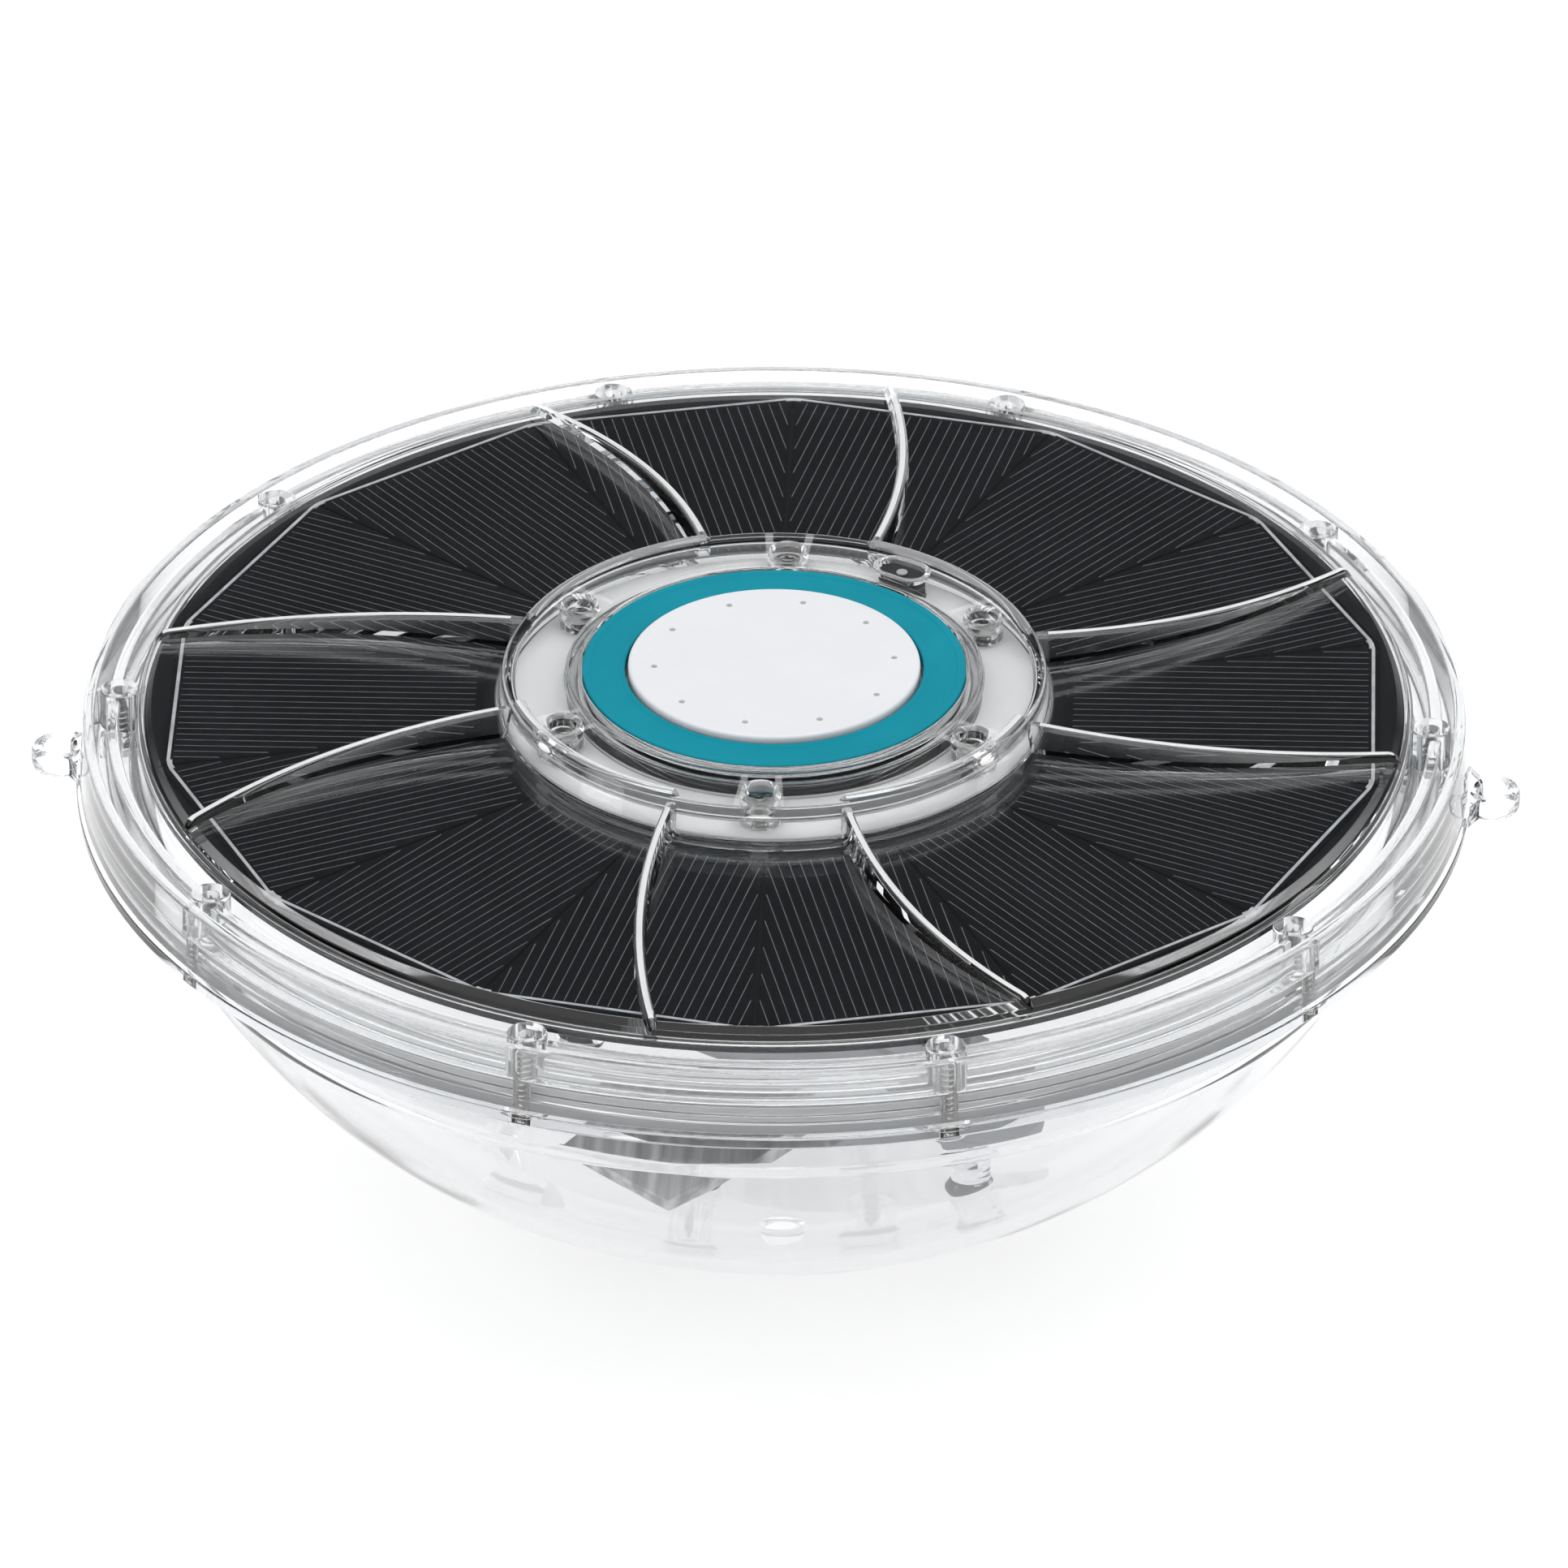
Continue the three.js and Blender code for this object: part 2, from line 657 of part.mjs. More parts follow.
function fixing(top, tip) {
  return turned(
    screwOutline({ head: 2.9, shank: 1.25, from: top + 2.2, under: top, tip }),
    10,
  );
}
for (let k = 0; k < 2; k++) {
  const ballastScrew = fixing(BALLAST.top + GAP, 9.0);
  const lampScrew = fixing(LAMP.top + GAP, 21.0);
  part("ballast_screw_" + (k + 1), placed(ballastScrew, BALLAST.screw, BALLAST.turn + 180 * k), steel);
  part("lamp_screw_" + (k + 1), placed(lampScrew, LAMP.post, LAMP.turn + 180 * k), steel);
}

export default root;
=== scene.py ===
"""Looks for the floating solar pool light: clear bowl and cover, solar cells, hub and button."""

import json
import math

import bmesh
import bpy
from mathutils import Matrix, Vector


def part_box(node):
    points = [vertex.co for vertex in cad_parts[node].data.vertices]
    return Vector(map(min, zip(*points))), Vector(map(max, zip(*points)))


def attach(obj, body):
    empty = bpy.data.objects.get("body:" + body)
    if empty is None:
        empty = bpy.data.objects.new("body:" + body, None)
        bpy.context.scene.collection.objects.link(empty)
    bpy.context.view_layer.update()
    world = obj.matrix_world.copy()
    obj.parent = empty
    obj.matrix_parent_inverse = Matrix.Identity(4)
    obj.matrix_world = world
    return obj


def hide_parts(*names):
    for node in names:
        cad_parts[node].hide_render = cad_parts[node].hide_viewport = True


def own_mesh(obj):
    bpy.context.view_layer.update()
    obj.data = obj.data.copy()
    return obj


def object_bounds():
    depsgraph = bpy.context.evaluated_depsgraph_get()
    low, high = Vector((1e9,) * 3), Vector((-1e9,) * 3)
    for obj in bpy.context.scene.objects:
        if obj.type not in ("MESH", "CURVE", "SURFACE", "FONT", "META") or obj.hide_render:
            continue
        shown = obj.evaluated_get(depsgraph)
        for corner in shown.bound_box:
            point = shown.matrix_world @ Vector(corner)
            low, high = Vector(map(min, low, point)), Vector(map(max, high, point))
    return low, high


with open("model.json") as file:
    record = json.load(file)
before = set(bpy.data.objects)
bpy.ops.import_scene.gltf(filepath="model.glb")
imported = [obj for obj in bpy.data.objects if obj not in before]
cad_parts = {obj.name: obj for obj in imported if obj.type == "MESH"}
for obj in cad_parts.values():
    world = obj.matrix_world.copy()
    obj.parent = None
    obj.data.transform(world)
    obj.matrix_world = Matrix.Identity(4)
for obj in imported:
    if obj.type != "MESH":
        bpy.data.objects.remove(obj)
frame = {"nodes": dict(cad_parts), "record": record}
cad_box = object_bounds()
MM = 0.001


# ---- places read from the frame (millimetres) ----------------------------------------------
def span(node):
    """Lowest and highest corner of a CAD node in millimetres."""
    low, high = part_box(node)
    return [c / MM for c in low], [c / MM for c in high]


def levels(node):
    """The lowest and highest Z of a CAD node."""
    low, high = span(node)
    return low[2], high[2]


def reach(node):
    """How far the middle of a CAD node stands from the object's axis."""
    low, high = span(node)
    return math.hypot((low[0] + high[0]) / 2, (low[1] + high[1]) / 2)


BOWL_HIGH = span("bowl")[1]
FLANGE_TOP = BOWL_HIGH[2]
RING_LOW, RING_TOP = levels("colour_ring")
CAP_LOW, CAP_TOP = levels("button_cap")
BOARD_LOW, BOARD_TOP = levels("panel_board")
CELL_TOP = levels("solar_cell_01")[1]
HOUSING_LOW, HOUSING_TOP = levels("electronics_housing")
SPRING_LOW, SPRING_HIGH = span("button_spring")
RIM_R = 140.3
RIM_SCREWS = 10
RIM_SCREW_AT = reach("rim_screw_01")
HUB_SCREWS, HUB_SCREW_TURN = 6, 30
HUB_SCREW_AT = reach("hub_screw_1")
BALLAST_SCREW_AT = reach("ballast_screw_1")
LAMP_SCREW_AT = reach("lamp_screw_1")
SENSOR_AT, SENSOR_TURN = 47.0, 60.0
PLATE_TOP = 111.7
HUB_TOP = 118.4
CELLS = 14


# ---- mesh building ---------------------------------------------------------------------------
def polar(r, degrees):
    """The (x, y) point at a radius and an angle."""
    a = math.radians(degrees)
    return r * math.cos(a), r * math.sin(a)


def fillet(points, closed, steps=4):
    """Rounds the corners of an outline of (r, z, corner radius) points."""
    out = []
    n = len(points)
    for i, (r, z, size) in enumerate(points):
        here = Vector((r, z))
        if size <= 0 or (not closed and i in (0, n - 1)):
            out.append((r, z))
            continue
        before = Vector(points[i - 1][:2]) - here
        after = Vector(points[(i + 1) % n][:2]) - here
        angle = before.angle(after)
        back = min(size / math.tan(angle / 2), before.length * 0.48, after.length * 0.48)
        a = here + before.normalized() * back
        b = here + after.normalized() * back
        for k in range(steps + 1):
            t = k / steps
            p = a * (1 - t) ** 2 + here * 2 * t * (1 - t) + b * t**2
            out.append((p.x, p.y))
    return out


def turned(points, closed=True, facets=160, steps=4):
    """An outline of (r, z, corner radius) turned about Z; closed=False starts and ends on the axis."""
    outline = fillet(points, closed, steps)
    bm = bmesh.new()
    rings = []
    for r, z in outline:
        if r < 1e-6:
            rings.append([bm.verts.new((0, 0, z))])
            continue
        ring = []
        for k in range(facets):
            x, y = polar(r, 360 * k / facets)
            ring.append(bm.verts.new((x, y, z)))
        rings.append(ring)
    pairs = list(zip(rings, rings[1:]))
    if closed:
        pairs.append((rings[-1], rings[0]))
    for low, high in pairs:
        if len(low) == 1 and len(high) == 1:
            continue
        for k in range(facets):
            m = (k + 1) % facets
            if len(low) == 1:
                bm.faces.new((low[0], high[m], high[k]))
            elif len(high) == 1:
                bm.faces.new((low[k], low[m], high[0]))
            else:
                bm.faces.new((low[k], low[m], high[m], high[k]))
    bmesh.ops.recalc_face_normals(bm, faces=bm.faces)
    return bm


def extruded(outline, low, high, bevel=0.0, segments=3):
    """A flat outline of (x, y) points raised from low to high, its flat edges rounded."""
    bm = bmesh.new()
    base = [bm.verts.new((x, y, low)) for x, y in outline]
    face = bm.faces.new(base)
    made = bmesh.ops.extrude_face_region(bm, geom=[face])
    lifted = [v for v in made["geom"] if isinstance(v, bmesh.types.BMVert)]
    bmesh.ops.translate(bm, verts=lifted, vec=(0, 0, high - low))
    if bevel:
        rims = [e for e in bm.edges if abs(e.verts[0].co.z - e.verts[1].co.z) < 1e-6]
        bmesh.ops.bevel(bm, geom=rims, offset=bevel, segments=segments, profile=0.5,
                        affect="EDGES", clamp_overlap=True)
    bmesh.ops.recalc_face_normals(bm, faces=bm.faces)
    return bm


def swept(stations, looped=False):
    """A closed solid through rings of equal length, capped at both ends or looped onto itself."""
    bm = bmesh.new()
    rings = [[bm.verts.new(p) for p in ring] for ring in stations]
    n = len(rings[0])
    after = rings[1:] + rings[:1] if looped else rings[1:]
    for low, high in zip(rings, after):
        for k in range(n):
            m = (k + 1) % n
            bm.faces.new((low[k], low[m], high[m], high[k]))
    if not looped:
        bm.faces.new(list(reversed(rings[0])))
        bm.faces.new(rings[-1])
    bmesh.ops.recalc_face_normals(bm, faces=bm.faces)
    return bm


def spun(outline, facets):
    """A function for around() that turns an outline which starts and ends on the axis."""
    return lambda: turned(outline, closed=False, facets=facets)


def moved(bm, x=0.0, turn=0.0):
    """Shifts a mesh along X, then turns it about the object's axis by turn degrees."""
    bm.transform(Matrix.Rotation(math.radians(turn), 4, "Z") @ Matrix.Translation((x, 0.0, 0.0)))
    return bm


def gathered(parts):
    """Several separate meshes as one."""
    whole = bmesh.new()
    for bm in parts:
        scratch = bpy.data.meshes.new("scratch")
        bm.to_mesh(scratch)
        bm.free()
        whole.from_mesh(scratch)
        bpy.data.meshes.remove(scratch)
    return whole


def around(make, count, at, first=0.0):
    """Copies of what make() builds, moved out along X and spread round the axis."""
    return gathered([moved(make(), x=at, turn=first + 360 * k / count) for k in range(count)])


def cut(target, tool, operation):
    """A boolean of two closed meshes, with doubled points at the seam merged."""
    holders = []
    for bm in (target, tool):
        mesh = bpy.data.meshes.new("scratch")
        bm.to_mesh(mesh)
        bm.free()
        holder = bpy.data.objects.new("scratch", mesh)
        bpy.context.scene.collection.objects.link(holder)
        holders.append(holder)
    body, other = holders
    step = body.modifiers.new("cut", "BOOLEAN")
    step.object = other
    step.operation = operation
    step.solver = "MANIFOLD"
    graph = bpy.context.evaluated_depsgraph_get()
    result = bmesh.new()
    result.from_mesh(body.evaluated_get(graph).to_mesh())
    body.evaluated_get(graph).to_mesh_clear()
    for holder in holders:
        mesh = holder.data
        bpy.data.objects.remove(holder)
        bpy.data.meshes.remove(mesh)
    bmesh.ops.remove_doubles(result, verts=result.verts, dist=1e-4)
    return result


LEVEL = 0.99995


def piece(name, bm, material, body="float", replaces=(), sharp=32.0):
    """Turns a mesh in millimetres into a shown piece that rides on a body.

    Edges sharper than sharp degrees are creased, and so are edges where a level face ends.
    """
    bmesh.ops.scale(bm, vec=(MM, MM, MM), verts=bm.verts)
    limit = math.radians(sharp)
    for face in bm.faces:
        face.smooth = True
    bm.normal_update()
    for edge in bm.edges:
        leaves_level = len({abs(face.normal.z) > LEVEL for face in edge.link_faces}) == 2
        edge.smooth = len(edge.link_faces) == 2 and edge.calc_face_angle(0) < limit and not leaves_level
    mesh = bpy.data.meshes.new(name)
    bm.to_mesh(mesh)
    bm.free()
    mesh.materials.append(material)
    made = bpy.data.objects.new(name, mesh)
    bpy.context.scene.collection.objects.link(made)
    shading = made.modifiers.new("flat_faces_stay_flat", "WEIGHTED_NORMAL")
    shading.keep_sharp = True
    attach(made, body)
    if replaces:
        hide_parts(*replaces)
    return made


# ---- materials -------------------------------------------------------------------------------
def material(name, base, other=None, rough=(0.3, 0.4), metallic=0.0, scale=60.0, stretch=(1, 1, 1),
             bump=0.0, bump_scale=400.0, bump_depth=0.0002, detail=4.0, absorbed=None, **sockets):
    """A Principled material with a noise in colour, roughness and height.

    base and other are the two colours mixed by the noise, rough the range of roughness;
    stretch lays the grain along an axis, absorbed is the colour and density that thick glass takes
    on, and the rest go straight onto the shader.
    """
    mat = bpy.data.materials.new(name)
    mat.use_nodes = True
    tree = mat.node_tree
    tree.nodes.clear()
    add = tree.nodes.new
    link = tree.links.new
    out = add("ShaderNodeOutputMaterial")
    shader = add("ShaderNodeBsdfPrincipled")
    link(shader.outputs["BSDF"], out.inputs["Surface"])
    where = add("ShaderNodeTexCoord")
    lay = add("ShaderNodeMapping")
    lay.inputs["Scale"].default_value = stretch
    link(where.outputs["Object"], lay.inputs["Vector"])
    noise = add("ShaderNodeTexNoise")
    noise.inputs["Scale"].default_value = scale
    noise.inputs["Detail"].default_value = detail
    link(lay.outputs["Vector"], noise.inputs["Vector"])
    ramp = add("ShaderNodeValToRGB")
    ramp.color_ramp.elements[0].position = 0.35
    ramp.color_ramp.elements[1].position = 0.65
    ramp.color_ramp.elements[0].color = (*base, 1)
    ramp.color_ramp.elements[1].color = (*(other or base), 1)
    link(noise.outputs["Fac"], ramp.inputs["Fac"])
    link(ramp.outputs["Color"], shader.inputs["Base Color"])
    gloss = add("ShaderNodeMapRange")
    gloss.inputs["To Min"].default_value = rough[0]
    gloss.inputs["To Max"].default_value = rough[1]
    link(noise.outputs["Fac"], gloss.inputs["Value"])
    link(gloss.outputs["Result"], shader.inputs["Roughness"])
    shader.inputs["Metallic"].default_value = metallic
    if bump:
        fine = add("ShaderNodeTexNoise")
        fine.inputs["Scale"].default_value = bump_scale
        fine.inputs["Detail"].default_value = 3.0
        link(lay.outputs["Vector"], fine.inputs["Vector"])
        height = add("ShaderNodeBump")
        height.inputs["Strength"].default_value = bump
        height.inputs["Distance"].default_value = bump_depth
        link(fine.outputs["Fac"], height.inputs["Height"])
        link(height.outputs["Normal"], shader.inputs["Normal"])
    if absorbed:
        inside = add("ShaderNodeVolumeAbsorption")
        inside.inputs["Color"].default_value = (*absorbed[0], 1)
        inside.inputs["Density"].default_value = absorbed[1]
        link(inside.outputs["Volume"], out.inputs["Volume"])
    for socket, value in sockets.items():
        shader.inputs[socket.replace("_", " ")].default_value = value
    return mat


clear = material("clear_acrylic", (0.996, 0.998, 1.0), (0.986, 0.991, 0.995), (0.0, 0.02),
                 scale=14.0, absorbed=((0.62, 0.66, 0.68), 8.0), Transmission_Weight=1.0, IOR=1.47)
clear_bowl = material("bowl_acrylic", (0.972, 0.976, 0.981), (0.95, 0.955, 0.962), (0.0, 0.02), scale=9.0,
                      bump=0.5, bump_scale=9.0, bump_depth=0.0012, absorbed=((0.50, 0.53, 0.56), 20.0),
                      Transmission_Weight=1.0, IOR=1.47)
# Painted light: the rim's walls and the hub's wall get a milkier acrylic so they read lighter.
rim_painted_light = material("rim_painted_light_acrylic", (0.99, 0.992, 0.995), (0.97, 0.975, 0.98), (0.0, 0.03), scale=30.0,
                     absorbed=((0.62, 0.66, 0.68), 8.0), Transmission_Weight=0.93, IOR=1.47)
# Painted highlight: the rib crests get a whiter acrylic that lets less light through, so they read as bright
# lines.
crest = material("rib_crest_painted_highlight", (0.98, 0.985, 0.99), (0.90, 0.91, 0.92), (0.04, 0.12), scale=70.0,
                 bump=0.2, bump_scale=160.0, Transmission_Weight=0.40, IOR=1.47)
# Painted highlight: the hub's lips, the hub screws' mouths and the sensor window's rim get a whiter acrylic
# so they read as bright rings.
lip_painted_highlight = material("lip_painted_highlight_acrylic", (0.985, 0.99, 0.995), (0.955, 0.96, 0.97), (0.02, 0.07), scale=60.0,
                     bump=0.1, bump_scale=160.0, Transmission_Weight=0.82, IOR=1.47)
clear_rubber = material("clear_silicone", (0.86, 0.875, 0.885), (0.80, 0.815, 0.825), (0.45, 0.6),
                        scale=90.0, bump=0.25, Transmission_Weight=0.25, IOR=1.41)
white_plastic = material("white_abs", (0.975, 0.978, 0.983), (0.955, 0.958, 0.965), (0.36, 0.46),
                         scale=45.0, bump=0.12, bump_scale=1500.0, IOR=1.5)
cap_plastic = material("button_abs", (0.61, 0.62, 0.64), (0.59, 0.60, 0.62), (0.42, 0.54),
                       scale=60.0, bump=0.22, bump_scale=2600.0, IOR=1.5)
grey_plastic = material("grey_abs", (0.56, 0.57, 0.585), (0.50, 0.51, 0.525), (0.42, 0.55),
                        scale=50.0, bump=0.2, bump_scale=1500.0)
black_plastic = material("black_nylon", (0.018, 0.02, 0.023), (0.03, 0.032, 0.035), (0.45, 0.6),
                         scale=70.0, bump=0.3, bump_scale=1200.0)
teal_rubber = material("teal_silicone", (0.0010, 0.212, 0.278), (0.0010, 0.194, 0.256), (0.46, 0.56),
                       scale=55.0, bump=0.14, bump_scale=2200.0, Specular_IOR_Level=0.08)
laminate = material("black_laminate", (0.0065, 0.008, 0.010), (0.009, 0.011, 0.014), (0.4, 0.52),
                    scale=110.0, bump=0.2, bump_scale=1800.0, Specular_IOR_Level=0.06)
board_back = material("board_back_mask", (0.84, 0.845, 0.85), (0.78, 0.785, 0.79), (0.35, 0.5),
                      scale=60.0, bump=0.15, bump_scale=1500.0)
silicon = material("silicon_cell", (0.0060, 0.0075, 0.0100), (0.0085, 0.0105, 0.0135), (0.10, 0.17),
                   scale=38.0, bump=0.05, bump_scale=3000.0, Specular_IOR_Level=0.12)
silver_ink = material("silver_ink", (0.24, 0.25, 0.265), (0.15, 0.16, 0.175), (0.4, 0.6),
                      scale=260.0, bump=0.3, bump_scale=3000.0)
solder = material("tinned_ribbon", (0.78, 0.79, 0.80), (0.55, 0.56, 0.58), (0.3, 0.5), metallic=0.2,
                  scale=300.0, bump=0.6, bump_scale=1600.0)
stainless = material("stainless", (0.58, 0.57, 0.55), (0.46, 0.45, 0.435), (0.16, 0.28), metallic=1.0,
                     scale=180.0, bump=0.15, bump_scale=1400.0)
# Painted shade: a dark steel laid on the faces in the thread's roots, standing for the shade between the
# ridges.
thread_root_painted_shade = material("stainless_painted_thread_shade", (0.13, 0.125, 0.115), (0.08, 0.077, 0.07), (0.3, 0.45),
                       metallic=0.6, scale=220.0, bump=0.2, bump_scale=1400.0)
wire_steel = material("spring_wire", (0.55, 0.55, 0.55), (0.45, 0.45, 0.45), (0.25, 0.35),
                      metallic=1.0, scale=300.0, bump=0.1)
brushed = material("brushed_steel", (0.60, 0.60, 0.605), (0.20, 0.20, 0.205), (0.24, 0.40),
                   metallic=1.0, scale=420.0, stretch=(1.0, 0.02, 1.0), bump=0.6, bump_scale=1400.0)
mask_green = material("solder_mask", (0.006, 0.062, 0.032), (0.010, 0.085, 0.045), (0.25, 0.36),
                      scale=130.0, stretch=(1.0, 0.12, 1.0), bump=0.5, bump_scale=600.0)
mask_white = material("lamp_board_mask", (0.78, 0.79, 0.80), (0.70, 0.71, 0.72), (0.3, 0.4),
                      scale=90.0, bump=0.2, bump_scale=1200.0)
sleeve = material("battery_sleeve", (0.012, 0.06, 0.30), (0.016, 0.08, 0.36), (0.22, 0.32),
                  scale=40.0, bump=0.1)
lens_clear = material("lamp_lens", (0.93, 0.94, 0.90), (0.88, 0.89, 0.84), (0.05, 0.12),
                      scale=80.0, Transmission_Weight=0.7, IOR=1.5)
photodiode = material("sensor_dot", (0.66, 0.67, 0.67), (0.52, 0.53, 0.53), (0.2, 0.3), scale=150.0)


# ---- the camera, floor and light ---------------------------------------------------------------
CAMERA_AZIMUTH = 3.34
CAMERA_ELEVATION = 31.12
CAMERA_DISTANCE = 3.325
CAMERA_LENS = 379.4
AIM_ASIDE, AIM_BEHIND, AIM_HEIGHT = 0.00196, 0.00011, 0.0913
LIGHTS_AIM = Vector((0, 0, 0.08))


def make_camera():
    """A long lens at the photo's angle, aimed at a point inside the CAD model's box."""
    data = bpy.data.cameras.new("camera")
    data.sensor_width = 36.0
    data.lens = CAMERA_LENS
    data.clip_start = 0.05
    data.clip_end = 60.0
    cam = bpy.data.objects.new("camera", data)
    bpy.context.scene.collection.objects.link(cam)
    a, e = math.radians(CAMERA_AZIMUTH), math.radians(CAMERA_ELEVATION)
    back = Vector((math.sin(a) * math.cos(e), -math.cos(a) * math.cos(e), math.sin(e)))
    low, high = cad_box
    middle = (low + high) / 2
    target = Vector((middle.x + AIM_ASIDE, middle.y + AIM_BEHIND, low.z + AIM_HEIGHT))
    cam.location = target + back * CAMERA_DISTANCE
    cam.rotation_mode = "QUATERNION"
    cam.rotation_quaternion = (-back).to_track_quat("-Z", "Y")
    bpy.context.scene.camera = cam


def make_world():
    """A studio, pale low down and white overhead, with a dark band 27 to 35 degrees up.

    The flat cover and the panel mirror that band to the camera.
    """
    world = bpy.data.worlds.new("studio")
    bpy.context.scene.world = world
    world.use_nodes = True
    tree = world.node_tree
    tree.nodes.clear()
    out = tree.nodes.new("ShaderNodeOutputWorld")
    back = tree.nodes.new("ShaderNodeBackground")
    where = tree.nodes.new("ShaderNodeTexCoord")
    split = tree.nodes.new("ShaderNodeSeparateXYZ")
    ramp = tree.nodes.new("ShaderNodeValToRGB")
    tree.links.new(where.outputs["Generated"], split.inputs["Vector"])
    tree.links.new(split.outputs["Z"], ramp.inputs["Fac"])
    tree.links.new(ramp.outputs["Color"], back.inputs["Color"])
    tree.links.new(back.outputs["Background"], out.inputs["Surface"])
    stops = [(0.0, 0.70), (0.36, 0.74), (0.45, 0.05), (0.58, 0.05), (0.66, 0.95), (1.0, 1.0)]
    marks = ramp.color_ramp.elements
    while len(marks) < len(stops):
        marks.new(0.5)
    for mark, (at, level) in zip(marks, stops):
        mark.position = at
        mark.color = (level, level, level * 1.005, 1)
    back.inputs["Strength"].default_value = 1.32


def make_floor():
    """A wide pale disc under the object, its top at height 0."""
    bm = turned([(0, -2.0, 0), (5000, -2.0, 0), (5000, 0.0, 0), (0, 0.0, 0)], closed=False, facets=96)
    bmesh.ops.scale(bm, vec=(MM, MM, MM), verts=bm.verts)
    mesh = bpy.data.meshes.new("floor")
    bm.to_mesh(mesh)
    bm.free()
    mesh.materials.append(
        material("pale_floor", (0.50, 0.50, 0.503), (0.48, 0.48, 0.483), (0.7, 0.8), scale=3.0,
                 Emission_Color=(1, 1, 1, 1), Emission_Strength=0.72)
    )
    floor = bpy.data.objects.new("floor", mesh)
    bpy.context.scene.collection.objects.link(floor)


def make_light(name, place, size, watts):
    """A round area light aimed at the object."""
    data = bpy.data.lights.new(name, "AREA")
    data.shape = "DISK"
    data.size = size
    data.energy = watts
    lamp = bpy.data.objects.new(name, data)
    bpy.context.scene.collection.objects.link(lamp)
    lamp.location = place
    aim = LIGHTS_AIM - Vector(place)
    lamp.rotation_mode = "QUATERNION"
    lamp.rotation_quaternion = aim.to_track_quat("-Z", "Y")


make_camera()
make_world()
make_floor()
make_light("overhead", (0.3, -0.2, 3.2), 2.2, 40.0)
make_light("side_left", (-3.0, -1.2, 0.9), 1.2, 14.0)
make_light("side_right", (3.0, 0.6, 0.8), 1.2, 14.0)
scene = bpy.context.scene
scene.view_settings.view_transform = "Standard"
scene.cycles.max_bounces = 24
scene.cycles.transmission_bounces = 24
scene.cycles.glossy_bounces = 10
scene.cycles.transparent_max_bounces = 12


# ---- bowl --------------------------------------------------------------------------------------
BAR_TURN = 48.0
LAMP_TURN = -33.5
FOOT_AT, FOOT_TURN, FOOT_TOP = 36.0, -84.0, 6.5
SPHERE_R = 141.4
SPHERE_Z = 141.9
WALL = 2.8
NECK_R = 127.2
EYELET_LOW = 90.8
EYELET_R, EYELET_HOLE_R = 5.8, 3.1


def sphere_points(r, to_radius, steps):
    """The outline of a sphere of radius r from its lowest point up to where it is to_radius wide."""
    last = math.asin(to_radius / r)
    points = []
    for k in range(steps + 1):
        a = last * k / steps
        points.append((r * math.sin(a), SPHERE_Z - r * math.cos(a), 0))
    return points


def eyelet():
    """A tether eyelet: a round-edged ring with a flared foot that joins the bowl's flange."""
    low, high = EYELET_LOW, FLANGE_TOP
    centre = BOWL_HIGH[0] - EYELET_R
    ring = moved(turned([(EYELET_HOLE_R, low, 1.3), (EYELET_R, low, 1.6), (EYELET_R, high, 1.6),
                         (EYELET_HOLE_R, high, 1.3)], facets=40), x=centre)
    outline = []
    start, bend, end = Vector((137.6, -13.5)), Vector((140.8, -6.3)), Vector((142.1, -5.0))
    for k in range(9):
        t = k / 8
        p = start * (1 - t) ** 2 + bend * 2 * t * (1 - t) + end * t * t
        outline.append((p.x, p.y))
    for k in range(13):
        x, y = polar(4.4, -115 - k * 130 / 12)
        outline.append((centre + x, y))
    for k in range(9):
        x, y = outline[8 - k]
        outline.append((x, -y))
    web = extruded(outline, low + 0.15, high - 0.1, bevel=0.9)
    return cut(ring, web, "UNION")


def bowl_stud(at, turn, top):
    """A post that stands on the bowl's floor, flared where it meets the wall."""
    foot = SPHERE_Z - math.sqrt((SPHERE_R - WALL / 2) ** 2 - at**2)
    stud = turned([(0, foot - 1.0, 0), (3.0, foot - 0.4, 0), (5.6, foot + 1.4, 1.5), (4.0, foot + 4.5, 2.0),
                   (3.9, top, 0.4), (0, top, 0)], closed=False, facets=40)
    return moved(stud, x=at, turn=turn)


def foot_pad():
    """One of the bowl's feet, with a flat underside at height 0."""
    return turned([(0, 0, 0), (4.4, 0, 0.9), (4.5, 2.0, 0.6), (4.5, FOOT_TOP, 0), (0, FOOT_TOP, 0)],
                  closed=False, facets=40)


